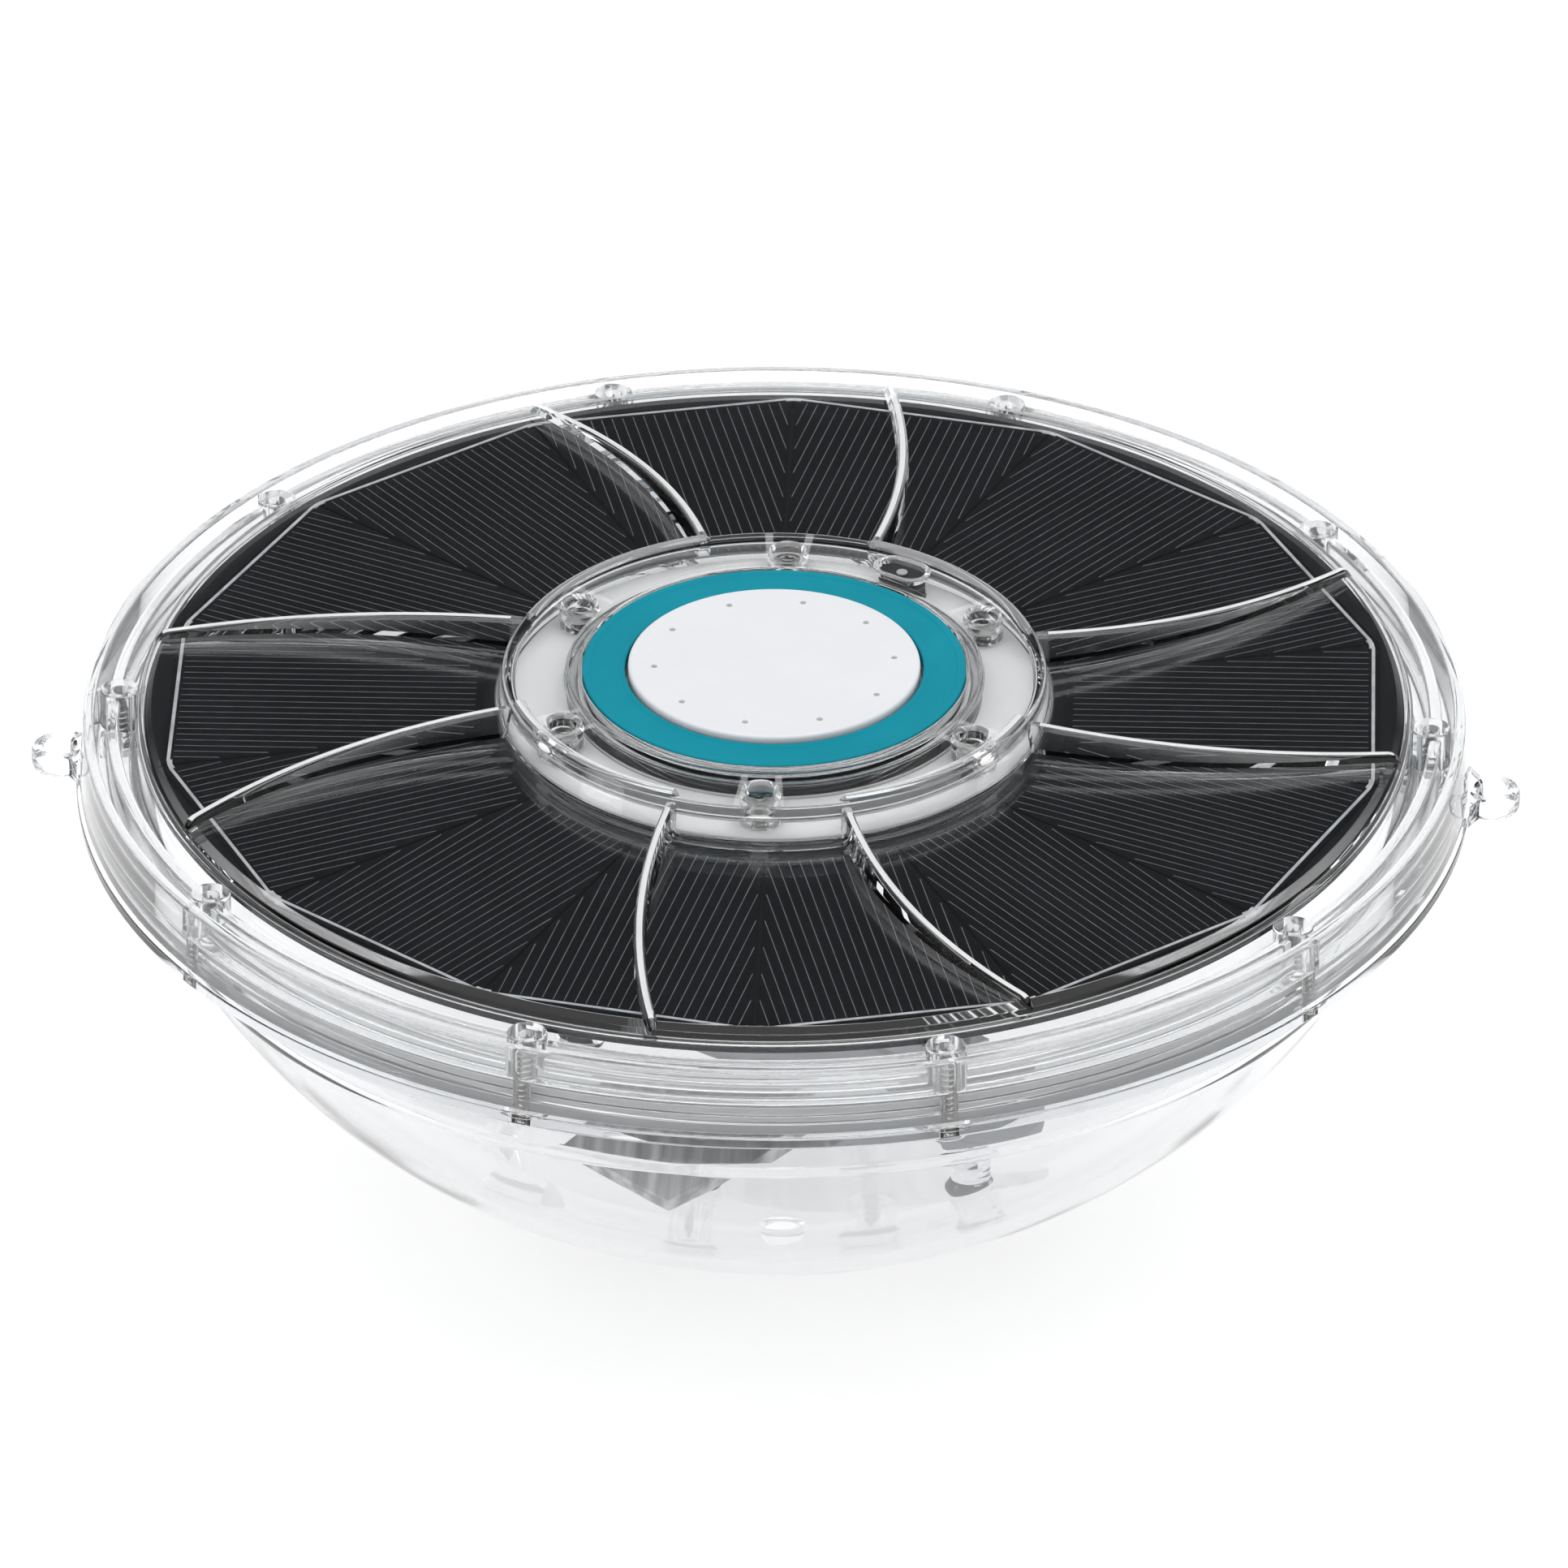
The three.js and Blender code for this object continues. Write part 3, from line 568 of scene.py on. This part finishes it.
def make_bowl():
    """The spherical shell with its flange, screw cups, studs, feet and eyelets, and its screw holes."""
    rim = [(NECK_R, FLANGE_TOP - 2.6, 0.9), (RIM_R, FLANGE_TOP - 2.6, 0.7), (RIM_R, FLANGE_TOP, 0.5),
           (NECK_R - WALL, FLANGE_TOP, 0.5)]
    inner = [(r, z, 0) for r, z, _ in reversed(sphere_points(SPHERE_R - WALL, NECK_R - WALL, 40))]
    shell = turned([*sphere_points(SPHERE_R, NECK_R, 44), *rim, *inner], closed=False, facets=200)
    cup = [(0, 89.8, 0), (4.9, 89.8, 0.5), (4.9, 93.6, 0), (0, 93.6, 0)]
    lamp_top = levels("lamp_carrier")[0] - 0.3
    bar_top = levels("ballast_bar")[0] - 0.3
    extras = gathered([
        around(spun(cup, 40), RIM_SCREWS, RIM_SCREW_AT),
        bowl_stud(LAMP_SCREW_AT, LAMP_TURN, lamp_top),
        bowl_stud(LAMP_SCREW_AT, LAMP_TURN + 180, lamp_top),
        bowl_stud(BALLAST_SCREW_AT, BAR_TURN, bar_top),
        bowl_stud(BALLAST_SCREW_AT, BAR_TURN + 180, bar_top),
        around(foot_pad, 3, FOOT_AT, FOOT_TURN),
        around(eyelet, 2, 0),
    ])
    shell = cut(shell, extras, "UNION")
    recess = [(0, 88, 0), (3.8, 88, 0), (3.8, 92.6, 0.3), (2.0, 92.6, 0), (2.0, 97, 0), (0, 97, 0)]
    pilot = [(0, 19, 0), (1.6, 19, 0), (1.6, 40, 0), (0, 40, 0)]
    low_pilot = [(0, 8.4, 0), (1.6, 8.4, 0), (1.6, 17, 0), (0, 17, 0)]
    holes = gathered([
        around(spun(recess, 32), RIM_SCREWS, RIM_SCREW_AT),
        around(spun(pilot, 24), 2, LAMP_SCREW_AT, LAMP_TURN),
        around(spun(low_pilot, 24), 2, BALLAST_SCREW_AT, BAR_TURN),
    ])
    return cut(shell, holes, "DIFFERENCE")


piece("bowl_shell", make_bowl(), clear_bowl, replaces=["bowl"])


# ---- cover -------------------------------------------------------------------------------------
RIB_FROM, RIB_TO = 54.6, 127.4
RIB_EDGE = 124.6
RIB_HALF = 1.1
RIB_END = 0.975
LIP_FROM, LIP_TO = 18.5, 71.5
LIP_R, LIP_SIZE = 52.75, 1.28
HEAD_HOLE_R, MOUTH_R, MOUTH_ROUND = 2.9, 4.15, 1.25
WINDOW_HALF = 2.1
WINDOW_R = 3.55
POCKET_R = 3.4
# material slots on the cover: painted highlights on crests and lips, painted light on the rim and hub walls
CREST, PAINTED_LIGHT_WALLS, LIP = 1, 2, 3


def rib(first, lean, bulge):
    """A rib swept from the hub and over the plate's edge, its crest falling and its top rounded."""
    start = Vector((*polar(RIB_FROM, 0), 0))
    end = Vector((*polar(RIB_TO, lean), 0))
    along = end - start
    side = Vector((along.y, -along.x, 0)).normalized()
    bend = (start + end) / 2 + side * 2 * bulge
    stations = []
    steps = 44
    for k in range(steps + 1):
        t = 1 - (1 - k / steps) ** 1.4
        here = start * (1 - t) ** 2 + bend * 2 * t * (1 - t) + end * t * t
        way = ((bend - start) * (1 - t) + (end - bend) * t).normalized()
        across = Vector((-way.y, way.x, 0))
        out = (here.length - 55.0) / (RIB_EDGE - 55.0)
        over = max(0.0, here.length - RIB_EDGE) / (RIB_TO - RIB_EDGE)
        crest = 118.2 - 5.0 * out - 1.9 * over**2
        half = RIB_HALF
        if t > RIB_END:
            close = math.sqrt(max(0.0, 1 - ((t - RIB_END) / 0.025) ** 2))
            half *= 0.4 + 0.6 * close
            crest -= 0.9 * (1 - close)
        base = PLATE_TOP - 1.0 - 1.2 * over
        shoulder = crest - half
        ring = [here - across * half * 1.25 + Vector((0, 0, base)),
                here + across * half * 1.25 + Vector((0, 0, base)),
                here + across * half * 1.2 + Vector((0, 0, base + 1.1 - 0.6 * over))]
        for j in range(7):
            a = math.pi * j / 6
            ring.append(here + across * half * math.cos(a)
                        + Vector((0, 0, shoulder + half * math.sin(a))))
        ring.append(here - across * half * 1.2 + Vector((0, 0, base + 1.1 - 0.6 * over)))
        stations.append(ring)
    return moved(swept(stations), turn=first)


def lip(first):
    """The rounded lip on the hub's edge between two ribs."""
    stations = []
    steps = 44
    for k in range(steps + 1):
        t = k / steps
        near = min(t, 1 - t) * 2 * 24.7
        size = math.sqrt(max(0.02, 1 - max(0.0, 1 - near / 1.3) ** 2))
        a = LIP_FROM - 1.0 + (LIP_TO - LIP_FROM + 2.0) * t
        ring = []
        for j in range(12):
            b = 2 * math.pi * j / 12
            r = LIP_R + LIP_SIZE * size * math.cos(b)
            z = HUB_TOP + 0.05 + (1.1 if math.sin(b) > 0 else 1.6) * size * math.sin(b)
            ring.append((*polar(r, a), z))
        stations.append(ring)
    return moved(swept(stations), turn=first)


def slot_ring(half, r, z):
    """The outline of a slot across X at one height: two half circles of radius r, half from its middle."""
    ring = []
    for k in range(17):
        x, y = polar(r, -90 + 180 * k / 16)
        ring.append((y, -x - half, z))
    return ring + [(-x, -y, z) for x, y, z in ring]


def sensor_lip():
    """The raised rounded edge of the sensor's window."""
    stations = []
    for j in range(12):
        b = 2 * math.pi * j / 12
        stations.append(slot_ring(WINDOW_HALF, WINDOW_R + 0.6 * math.cos(b), HUB_TOP + 0.4 * math.sin(b)))
    return swept(stations, looped=True)


def rim_boss():
    """The boss that takes a rim screw from below."""
    return turned([(0, 99.8, 0), (4.0, 99.8, 0), (4.0, 109.2, 0.5), (0, 109.2, 0)], closed=False,
                  facets=40)


def rim_web():
    """The thin wall that ties a boss to the rim on both sides."""
    return extruded([(-2.6, -0.8), (5.8, -0.8), (5.8, 0.8), (-2.6, 0.8)], 100.0, 108.7, bevel=0.25)


def make_cover():
    """The turned cover with its ribs, lips, bosses and screw holes, and the sensor's window."""
    outline = [
        (20, 111.6, 0.3), (41.5, 111.6, 0.3), (41.5, 115.4, 0.8), (52.7, 115.4, 1.2), (53.9, 111.7, 0),
        (53.9, 108.5, 0.6), (126.4, 108.5, 1.0), (126.4, 96.0, 0.2), (127.3, 96.0, 0.1), (127.3, 98.0, 0.2),
        (129.6, 98.0, 0.2), (129.6, 96.0, 0.1), (139.6, 96.0, 0.5), (138.7, 109.2, 0.8), (136.4, 109.2, 0.8),
        (136.1, 101.0, 0.7), (134.0, 101.0, 0.7), (134.0, 108.4, 0.8), (131.4, 108.4, 0.8),
        (131.4, 101.0, 0.9), (128.2, 101.0, 0.9), (128.2, 109.6, 0.8), (127.0, 111.0, 0.8),
        (124.8, 111.7, 1.0), (55.7, 111.7, 0.8), (54.4, 118.4, 0.9), (41.5, 118.4, 0.3),
        (41.4, 118.9, 0.4), (38.8, 118.9, 0.5), (38.8, 112.8, 0.4), (20, 112.8, 0.3)]
    cover = turned(outline, facets=200)
    ribs = gathered([rib(LIP_FROM + 90 * k, 8.2, 5.8) for k in range(4)]
                    + [rib(LIP_TO + 90 * k, 11.2, 4.3) for k in range(4)])
    cover = cut(cover, ribs, "UNION")
    cover = cut(cover, gathered([lip(90 * k) for k in range(4)]), "UNION")
    pillar = [(0, 111.4, 0), (4.1, 111.4, 0.4), (4.1, 116.2, 0), (0, 116.2, 0)]
    cover = cut(cover, gathered([
        around(rim_boss, RIM_SCREWS, RIM_SCREW_AT),
        around(spun(pillar, 40), HUB_SCREWS, HUB_SCREW_AT, HUB_SCREW_TURN),
    ]), "UNION")
    cover = cut(cover, around(rim_web, RIM_SCREWS, RIM_SCREW_AT), "UNION")
    pilot = [(0, 94, 0), (1.8, 94, 0), (1.8, 108.3, 0.3), (0, 108.3, 0)]
    rounded = [(MOUTH_R - MOUTH_ROUND * math.cos(a), HUB_TOP - 1.2 + MOUTH_ROUND * math.sin(a), 0)
               for a in (math.pi / 2 * k / 6 for k in range(7))]
    mouth = [(0, 108, 0), (1.9, 108, 0), (1.9, 113.4, 0), (HEAD_HOLE_R, 113.4, 0.3), *rounded,
             (MOUTH_R, 121, 0), (0, 121, 0)]
    cover = cut(cover, moved(sensor_lip(), x=SENSOR_AT, turn=SENSOR_TURN), "UNION")
    pocket = swept([slot_ring(WINDOW_HALF, POCKET_R, 114.4), slot_ring(WINDOW_HALF, POCKET_R, 117.5),
                    slot_ring(WINDOW_HALF, POCKET_R - 0.3, 117.8)])
    return cut(cover, gathered([
        around(spun(pilot, 32), RIM_SCREWS, RIM_SCREW_AT),
        around(spun(mouth, 40), HUB_SCREWS, HUB_SCREW_AT, HUB_SCREW_TURN),
        moved(pocket, x=SENSOR_AT, turn=SENSOR_TURN),
    ]), "DIFFERENCE")


def paint_edge_light(cover):
    """Paints light onto the cover: whiter acrylic on the rib crests, rounded lips, hub screws' mouths and
    the sensor's window rim as painted highlights, and a milkier one on the rim's and hub's walls as painted
    light.
    """
    for look in (crest, rim_painted_light, lip_painted_highlight):
        cover.data.materials.append(look)
    mouths = [polar(HUB_SCREW_AT, HUB_SCREW_TURN + 360 * k / HUB_SCREWS) for k in range(HUB_SCREWS)]
    sensor_x, sensor_y = polar(SENSOR_AT, SENSOR_TURN)
    for face in cover.data.polygons:
        x, y, z = (c / MM for c in face.center)
        r = math.hypot(x, y)
        on_rib = 56.5 < r < 127.6 and z > PLATE_TOP + 0.1 and face.normal.z > 0.85
        on_lip = 50.5 < r < 56.0 and z > HUB_TOP + 0.15 and face.normal.z > 0.6
        on_mouth = any(2.95 < math.hypot(x - mx, y - my) < 4.2 for mx, my in mouths) and z > 116.9
        on_window = math.hypot(x - sensor_x, y - sensor_y) < 6.4 and z > HUB_TOP + 0.05
        on_hub_wall = z > 112.6 and 53.0 < r < 56.0
        # crests take the painted highlight, lips, mouths and the window rim the milder painted highlight,
        # rim and hub walls the painted lighter acrylic
        if on_rib:
            face.material_index = CREST
        elif on_lip or on_mouth or on_window:
            face.material_index = LIP
        elif r > 128.3 or on_hub_wall:
            face.material_index = PAINTED_LIGHT_WALLS


paint_edge_light(piece("cover_shell", make_cover(), clear, replaces=["top_cover"]))


# ---- screws ------------------------------------------------------------------------------------
THREAD_PITCH = 1.3
THREAD_STEP = 0.16
POINT = 2.4
RECESS_HALF, RECESS_DEPTH = 0.33, 1.2


def screw(head, shank, face, seat, tip):
    """A thread-forming screw along Z with a cross recess in its pan head.

    head and shank are radii; face, seat and tip are the heights of the head's face, its underside
    and the shank's end.
    """
    way = 1 if seat > face else -1
    length = abs(tip - seat)
    facets = 24
    arm = head * 0.55
    rings = []
    for z, r in ((0.0, 0.0), (0.05, arm), (0.28, head * 0.85), (0.7, head), (abs(seat - face), head)):
        rings.append([(z, r)] * facets)
    steps = int(length / THREAD_STEP)
    for k in range(steps + 1):
        s = length * k / steps
        ring = []
        for j in range(facets):
            phase = (s / THREAD_PITCH - j / facets) % 1.0
            ridge = max(0.0, 1 - abs(phase - 0.5) / 0.28)
            run_in = min(1.0, max(0.0, (s - 0.8) / 1.2))
            taper = 1.0 if s < length - POINT else max(0.12, (length - s) / POINT)
            r = (shank * 0.76 + shank * 0.26 * ridge * run_in) * taper
            ring.append((abs(seat - face) + s, r))
        rings.append(ring)
    bm = bmesh.new()
    made = []
    for ring in rings:
        if ring[0][1] == 0:
            made.append([bm.verts.new((0, 0, face + way * ring[0][0]))])
            continue
        made.append([bm.verts.new((*polar(r, 360 * j / facets), face + way * z))
                     for j, (z, r) in enumerate(ring)])
    for low, high in zip(made, made[1:]):
        for j in range(facets):
            m = (j + 1) % facets
            if len(low) == 1:
                bm.faces.new((low[0], high[j], high[m]))
            else:
                bm.faces.new((low[j], low[m], high[m], high[j]))
    bm.faces.new(made[-1])
    bmesh.ops.recalc_face_normals(bm, faces=bm.faces)
    low, high = sorted((face - way * 0.5, face + way * RECESS_DEPTH))
    slots = [extruded([(-a, -b), (a, -b), (a, b), (-a, b)], low, high)
             for a, b in ((arm, RECESS_HALF), (RECESS_HALF, arm))]
    recess = cut(slots[0], slots[1], "UNION")
    return cut(bm, recess, "DIFFERENCE")


def screw_set(names, at, first, head, shank, head_height, from_below=False):
    """Puts a threaded screw in place of each named CAD screw, spread evenly round the axis, with painted
    shade on the faces deep in its thread.
    """
    low, high = levels(names[0])
    face, tip = (low, high) if from_below else (high, low)
    seat = low + head_height if from_below else high - head_height
    for k, node in enumerate(names):
        bm = moved(screw(head, shank, face, seat, tip), turn=17.0 * k)
        for face_of in bm.faces:
            middle = face_of.calc_center_median()
            on_shank = min(seat, tip) + 0.1 < middle.z < max(seat, tip) - 0.1
            # faces deep in the thread take the dark second material: painted shade in the thread roots
            face_of.material_index = int(on_shank and math.hypot(middle.x, middle.y) < shank * 0.86)
        bm = moved(bm, x=at, turn=first + 360 * k / len(names))
        made = piece(node + "_threaded", bm, stainless, replaces=[node], sharp=28)
        made.data.materials.append(thread_root_painted_shade)


screw_set([f"rim_screw_{k + 1:02d}" for k in range(RIM_SCREWS)], RIM_SCREW_AT, 0, 3.35, 1.72, 2.1,
          from_below=True)
screw_set([f"hub_screw_{k + 1}" for k in range(HUB_SCREWS)], HUB_SCREW_AT, HUB_SCREW_TURN, 2.45, 1.45, 2.6)
screw_set(["ballast_screw_1", "ballast_screw_2"], BALLAST_SCREW_AT, BAR_TURN, 2.85, 1.4, 2.2)
screw_set(["lamp_screw_1", "lamp_screw_2"], LAMP_SCREW_AT, LAMP_TURN, 2.85, 1.4, 2.2)


# ---- gaskets, ring, button -----------------------------------------------------------------------
def turned_piece(name, outline, look, node, facets=160):
    """A turned ring that rides on the float in place of one CAD node."""
    return piece(name, turned(outline, facets=facets), look, replaces=[node])


turned_piece("rim_seal", [(127.6, 95.9, 0.6), (129.3, 95.9, 0.6), (129.3, 97.7, 0.6), (127.6, 97.7, 0.6)],
             clear_rubber, "rim_gasket")
turned_piece("hub_seal", [(39.7, 110.1, 0.5), (41.3, 110.1, 0.5), (41.3, 111.3, 0.5), (39.7, 111.3, 0.5)],
             clear_rubber, "hub_gasket")
turned_piece("teal_ring", [(29.9, RING_LOW, 0.3), (38.5, RING_LOW, 0.3), (38.5, RING_TOP, 0.45),
                           (36.9, RING_TOP, 0.1), (36.7, RING_TOP - 0.12, 0.1),
                           (31.2, RING_TOP - 0.12, 0.1), (31.0, RING_TOP, 0.1),
                           (29.9, RING_TOP, 0.4)],
             teal_rubber, "colour_ring")
turned_piece("seal_disc", [(4.5, 113.1, 0.2), (38.5, 113.1, 0.4), (38.5, RING_LOW - 0.3, 0.3),
                           (29.9, RING_LOW - 0.3, 0.3), (29.9, 114.1, 0.3), (19, 114.1, 0.6),
                           (16.5, 115.1, 0.8), (14, 114.1, 0.6), (4.5, 114.1, 0.2)],
             clear_rubber, "button_seal")


PIN_HOLES, PIN_HOLE_AT, PIN_HOLE_TURN = 10, 24.1, 7.4


def make_cap():
    """The push button: a disc on a stem, with a ring of pin holes in its top."""
    low, top = CAP_LOW, CAP_TOP
    cap = turned([(0, low, 0), (4.0, low, 0.5), (4.0, top - 2.2, 0.6), (27.6, top - 2.2, 0.6),
                  (27.6, 116.0, 0.2), (29.3, 116.0, 0.2), (29.3, top, 0.9), (0, top, 0)], closed=False,
                 facets=160, steps=5)
    pin = [(0, top - 0.8, 0), (0.6, top - 0.8, 0.1), (0.6, top - 0.15, 0), (0.8, top + 0.2, 0),
           (0, top + 0.2, 0)]
    return cut(cap, around(spun(pin, 20), PIN_HOLES, PIN_HOLE_AT, PIN_HOLE_TURN), "DIFFERENCE")


piece("button_disc", make_cap(), cap_plastic, body="button", replaces=["button_cap"])


SPRING_WIRE = 0.29


def make_spring():
    """The button's return spring: a round wire wound twice round the switch."""
    coil = SPRING_HIGH[0] - SPRING_WIRE
    rise = SPRING_HIGH[2] - SPRING_LOW[2] - 2 * SPRING_WIRE
    stations = []
    steps = 96
    for k in range(steps + 1):
        out = Vector((*polar(1, 720 * k / steps), 0))
        z = SPRING_LOW[2] + SPRING_WIRE + rise * k / steps
        ring = []
        for j in range(10):
            across, up = polar(SPRING_WIRE, 36 * j)
            ring.append(out * (coil + across) + Vector((0, 0, z + up)))
        stations.append(ring)
    return swept(stations)


spring = piece("spring_coil", make_spring(), wire_steel, replaces=["button_spring"])
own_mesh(spring)


# ---- electronics housing ---------------------------------------------------------------------------
def make_housing():
    """The housing under the hub: a cup with a wide flange, six finned screw bosses and four stands."""
    low, top = HOUSING_LOW, HOUSING_TOP
    body = turned([(0, low, 0), (22, low, 0), (24, low + 0.8, 0.4), (30, low + 0.8, 0.4), (32, low, 0.4),
                   (41, low, 1.2), (43, top - 3, 0.8), (53.4, top - 3, 0.3), (53.4, top, 0.4),
                   (41.6, top, 0.2), (41.6, top - 1.3, 0.1), (39.4, top - 1.3, 0.1), (39.4, top, 0.2),
                   (38.4, top, 0.3), (37.8, low + 2.5, 1.0), (0, low + 2.5, 0)], closed=False, facets=160)
    boss = [(0, 99, 0), (3.4, 99, 0.4), (3.4, top - 2.4, 0), (0, top - 2.4, 0)]
    stand = [(0, low + 1, 0), (2.5, low + 1, 0), (2.5, 91.7, 0.3), (0, 91.7, 0)]
    fin = [(40.6, -0.7), (45.6, -0.7), (46.4, 0), (45.6, 0.7), (40.6, 0.7)]
    fins = [moved(extruded(fin, 100.0, top - 1.4), turn=HUB_SCREW_TURN + 360 * k / HUB_SCREWS)
            for k in range(HUB_SCREWS)]
    body = cut(body, gathered([
        around(spun(boss, 32), HUB_SCREWS, HUB_SCREW_AT, HUB_SCREW_TURN),
        around(spun(stand, 32), 4, 32),
    ]), "UNION")
    body = cut(body, gathered(fins), "UNION")
    hole = [(0, 100.5, 0), (1.75, 100.5, 0), (1.75, 120, 0), (0, 120, 0)]
    slot = swept([slot_ring(2.2, 3.2, 100), slot_ring(2.2, 3.2, 120)])
    return cut(body, gathered([
        around(spun(hole, 24), HUB_SCREWS, HUB_SCREW_AT, HUB_SCREW_TURN),
        moved(slot, x=SENSOR_AT, turn=SENSOR_TURN),
    ]), "DIFFERENCE")


piece("housing_shell", make_housing(), white_plastic, replaces=["electronics_housing"])


# ---- solar panel -------------------------------------------------------------------------------------
panel = turned_piece("panel_sheet", [(51.5, BOARD_LOW, 0.1), (125.9, BOARD_LOW, 0.1),
                             (125.9, BOARD_TOP, 0.1), (51.5, BOARD_TOP, 0.1)],
             laminate, "panel_board", facets=200)
panel.data.materials.append(board_back)
for face in panel.data.polygons:
    if face.normal.z < -0.5:
        face.material_index = 1

CELL_TURN = 91.5
HALF = math.pi / CELLS
OUTER = 124.5 * math.cos(HALF)
INNER = 60.0 * math.cos(HALF)
FINGER_PITCH = 2.2
FINGER_HALF = 0.075


def cell_turn(k):
    """The angle of a cell's centre line."""
    return CELL_TURN - (k + 0.5) * 360 / CELLS


def make_fingers():
    """Collector fingers printed on each cell, parallel to its centre line and cut off at its sides."""
    parts = []
    end = OUTER - 2.2
    for k in range(CELLS):
        for j in range(-12, 13):
            v = j * FINGER_PITCH
            start = max(INNER + 1.5, (abs(v) + 0.9) / math.tan(HALF))
            if end - start < 3:
                continue
            finger = [(start, v - FINGER_HALF), (end, v - FINGER_HALF), (end, v + FINGER_HALF),
                      (start, v + FINGER_HALF)]
            parts.append(moved(extruded(finger, CELL_TOP, CELL_TOP + 0.03), turn=cell_turn(k)))
    return gathered(parts)


def make_ribbons():
    """The tinned ribbon along each cell's outer edge, and the short jumpers between cells."""
    parts = []
    half = OUTER * math.tan(HALF) - 1.7
    for k in range(CELLS):
        ribbon = extruded([(OUTER - 1.6, -half), (OUTER - 0.9, -half), (OUTER - 0.9, half),
                           (OUTER - 1.6, half)],
                          CELL_TOP, CELL_TOP + 0.16, bevel=0.04, segments=2)
        parts.append(moved(ribbon, turn=cell_turn(k)))
        jumper = extruded([(-0.6, -1.5), (0.5, -1.9), (0.7, 0.0), (0.5, 1.9), (-0.6, 1.5), (-0.3, 0)],
                          CELL_TOP + 0.02, CELL_TOP + 0.22, bevel=0.05, segments=2)
        parts.append(moved(jumper, x=122.6, turn=cell_turn(k) + 180 / CELLS))
    return gathered(parts)


piece("cell_fingers", make_fingers(), silver_ink)
piece("cell_ribbons", make_ribbons(), solder)


# ---- lamp and ballast ------------------------------------------------------------------------------
LED_FIRST, LED_PITCH = -27, 18


def obround(length, width, steps=20):
    """The outline of a bar with round ends, lying along X."""
    half = (length - width) / 2
    right = [(half + width / 2 * math.cos(math.pi * (k / steps - 0.5)),
              width / 2 * math.sin(math.pi * (k / steps - 0.5))) for k in range(steps + 1)]
    return right + [(-x, -y) for x, y in right]


def make_carrier():
    """The lamp bar, with a shallow trough along its top and two screw holes."""
    low, high = levels("lamp_carrier")
    plate = extruded(obround(129.9, 25.9), low, high, bevel=0.5)
    trough = extruded(obround(74, 14), high - 1.0, high + 1)
    plate = cut(plate, trough, "DIFFERENCE")
    hole = [(0, low - 1, 0), (1.6, low - 1, 0), (1.6, high + 1, 0), (0, high + 1, 0)]
    plate = cut(plate, around(spun(hole, 24), 2, LAMP_SCREW_AT), "DIFFERENCE")
    return moved(plate, turn=LAMP_TURN)


piece("lamp_bar", make_carrier(), grey_plastic, replaces=["lamp_carrier"])


def make_ballast():
    """The ballast plate with its two countersunk screw holes."""
    low, high = levels("ballast_bar")
    corners = [(-46, -16), (46, -16), (46, 16), (-46, 16)]
    bar = extruded(corners, low, high, bevel=0.35, segments=2)
    hole = [(0, low - 1, 0), (1.8, low - 1, 0), (1.8, high - 0.4, 0), (2.4, high + 0.4, 0),
            (0, high + 0.4, 0)]
    bar = cut(bar, around(spun(hole, 24), 2, BALLAST_SCREW_AT), "DIFFERENCE")
    return moved(bar, turn=BAR_TURN)


piece("ballast_plate", make_ballast(), brushed, replaces=["ballast_bar"])


def make_led(low, high):
    """A lamp whose dome points down, with its collar at the top."""
    return turned([(0, low, 0), (1.5, low + 0.15, 0.6), (2.5, low + 2.0, 1.0), (2.5, high - 0.8, 0.1),
                   (3.1, high - 0.8, 0.1), (3.1, high, 0.1), (0, high, 0)], closed=False, facets=40)


for k in range(4):
    node = f"led_{k + 1}"
    dome = moved(make_led(*levels(node)), x=LED_FIRST + LED_PITCH * k, turn=LAMP_TURN)
    piece(node + "_dome", dome, lens_clear, replaces=[node])


# ---- looks of the plain CAD nodes that no piece replaces ---------------------------------------------
PLAIN = {
    "silicon_cell": silicon, "white_plastic": white_plastic, "black_plastic": black_plastic,
    "stainless_wire": wire_steel, "circuit_board": mask_green, "battery_sleeve": sleeve,
    "clear_lens": photodiode, "silicone_clear": clear_rubber, "clear_shell": clear,
    "stainless_screw": stainless, "brushed_plate": brushed, "black_laminate": laminate,
    "grey_plastic": grey_plastic, "teal_silicone": teal_rubber,
}
for entry in frame["record"]["subparts"]:
    node = frame["nodes"][entry["node"]]
    node.data.materials.clear()
    node.data.materials.append(PLAIN[entry["material_slot"]])
frame["nodes"]["led_board"].data.materials[0] = mask_white
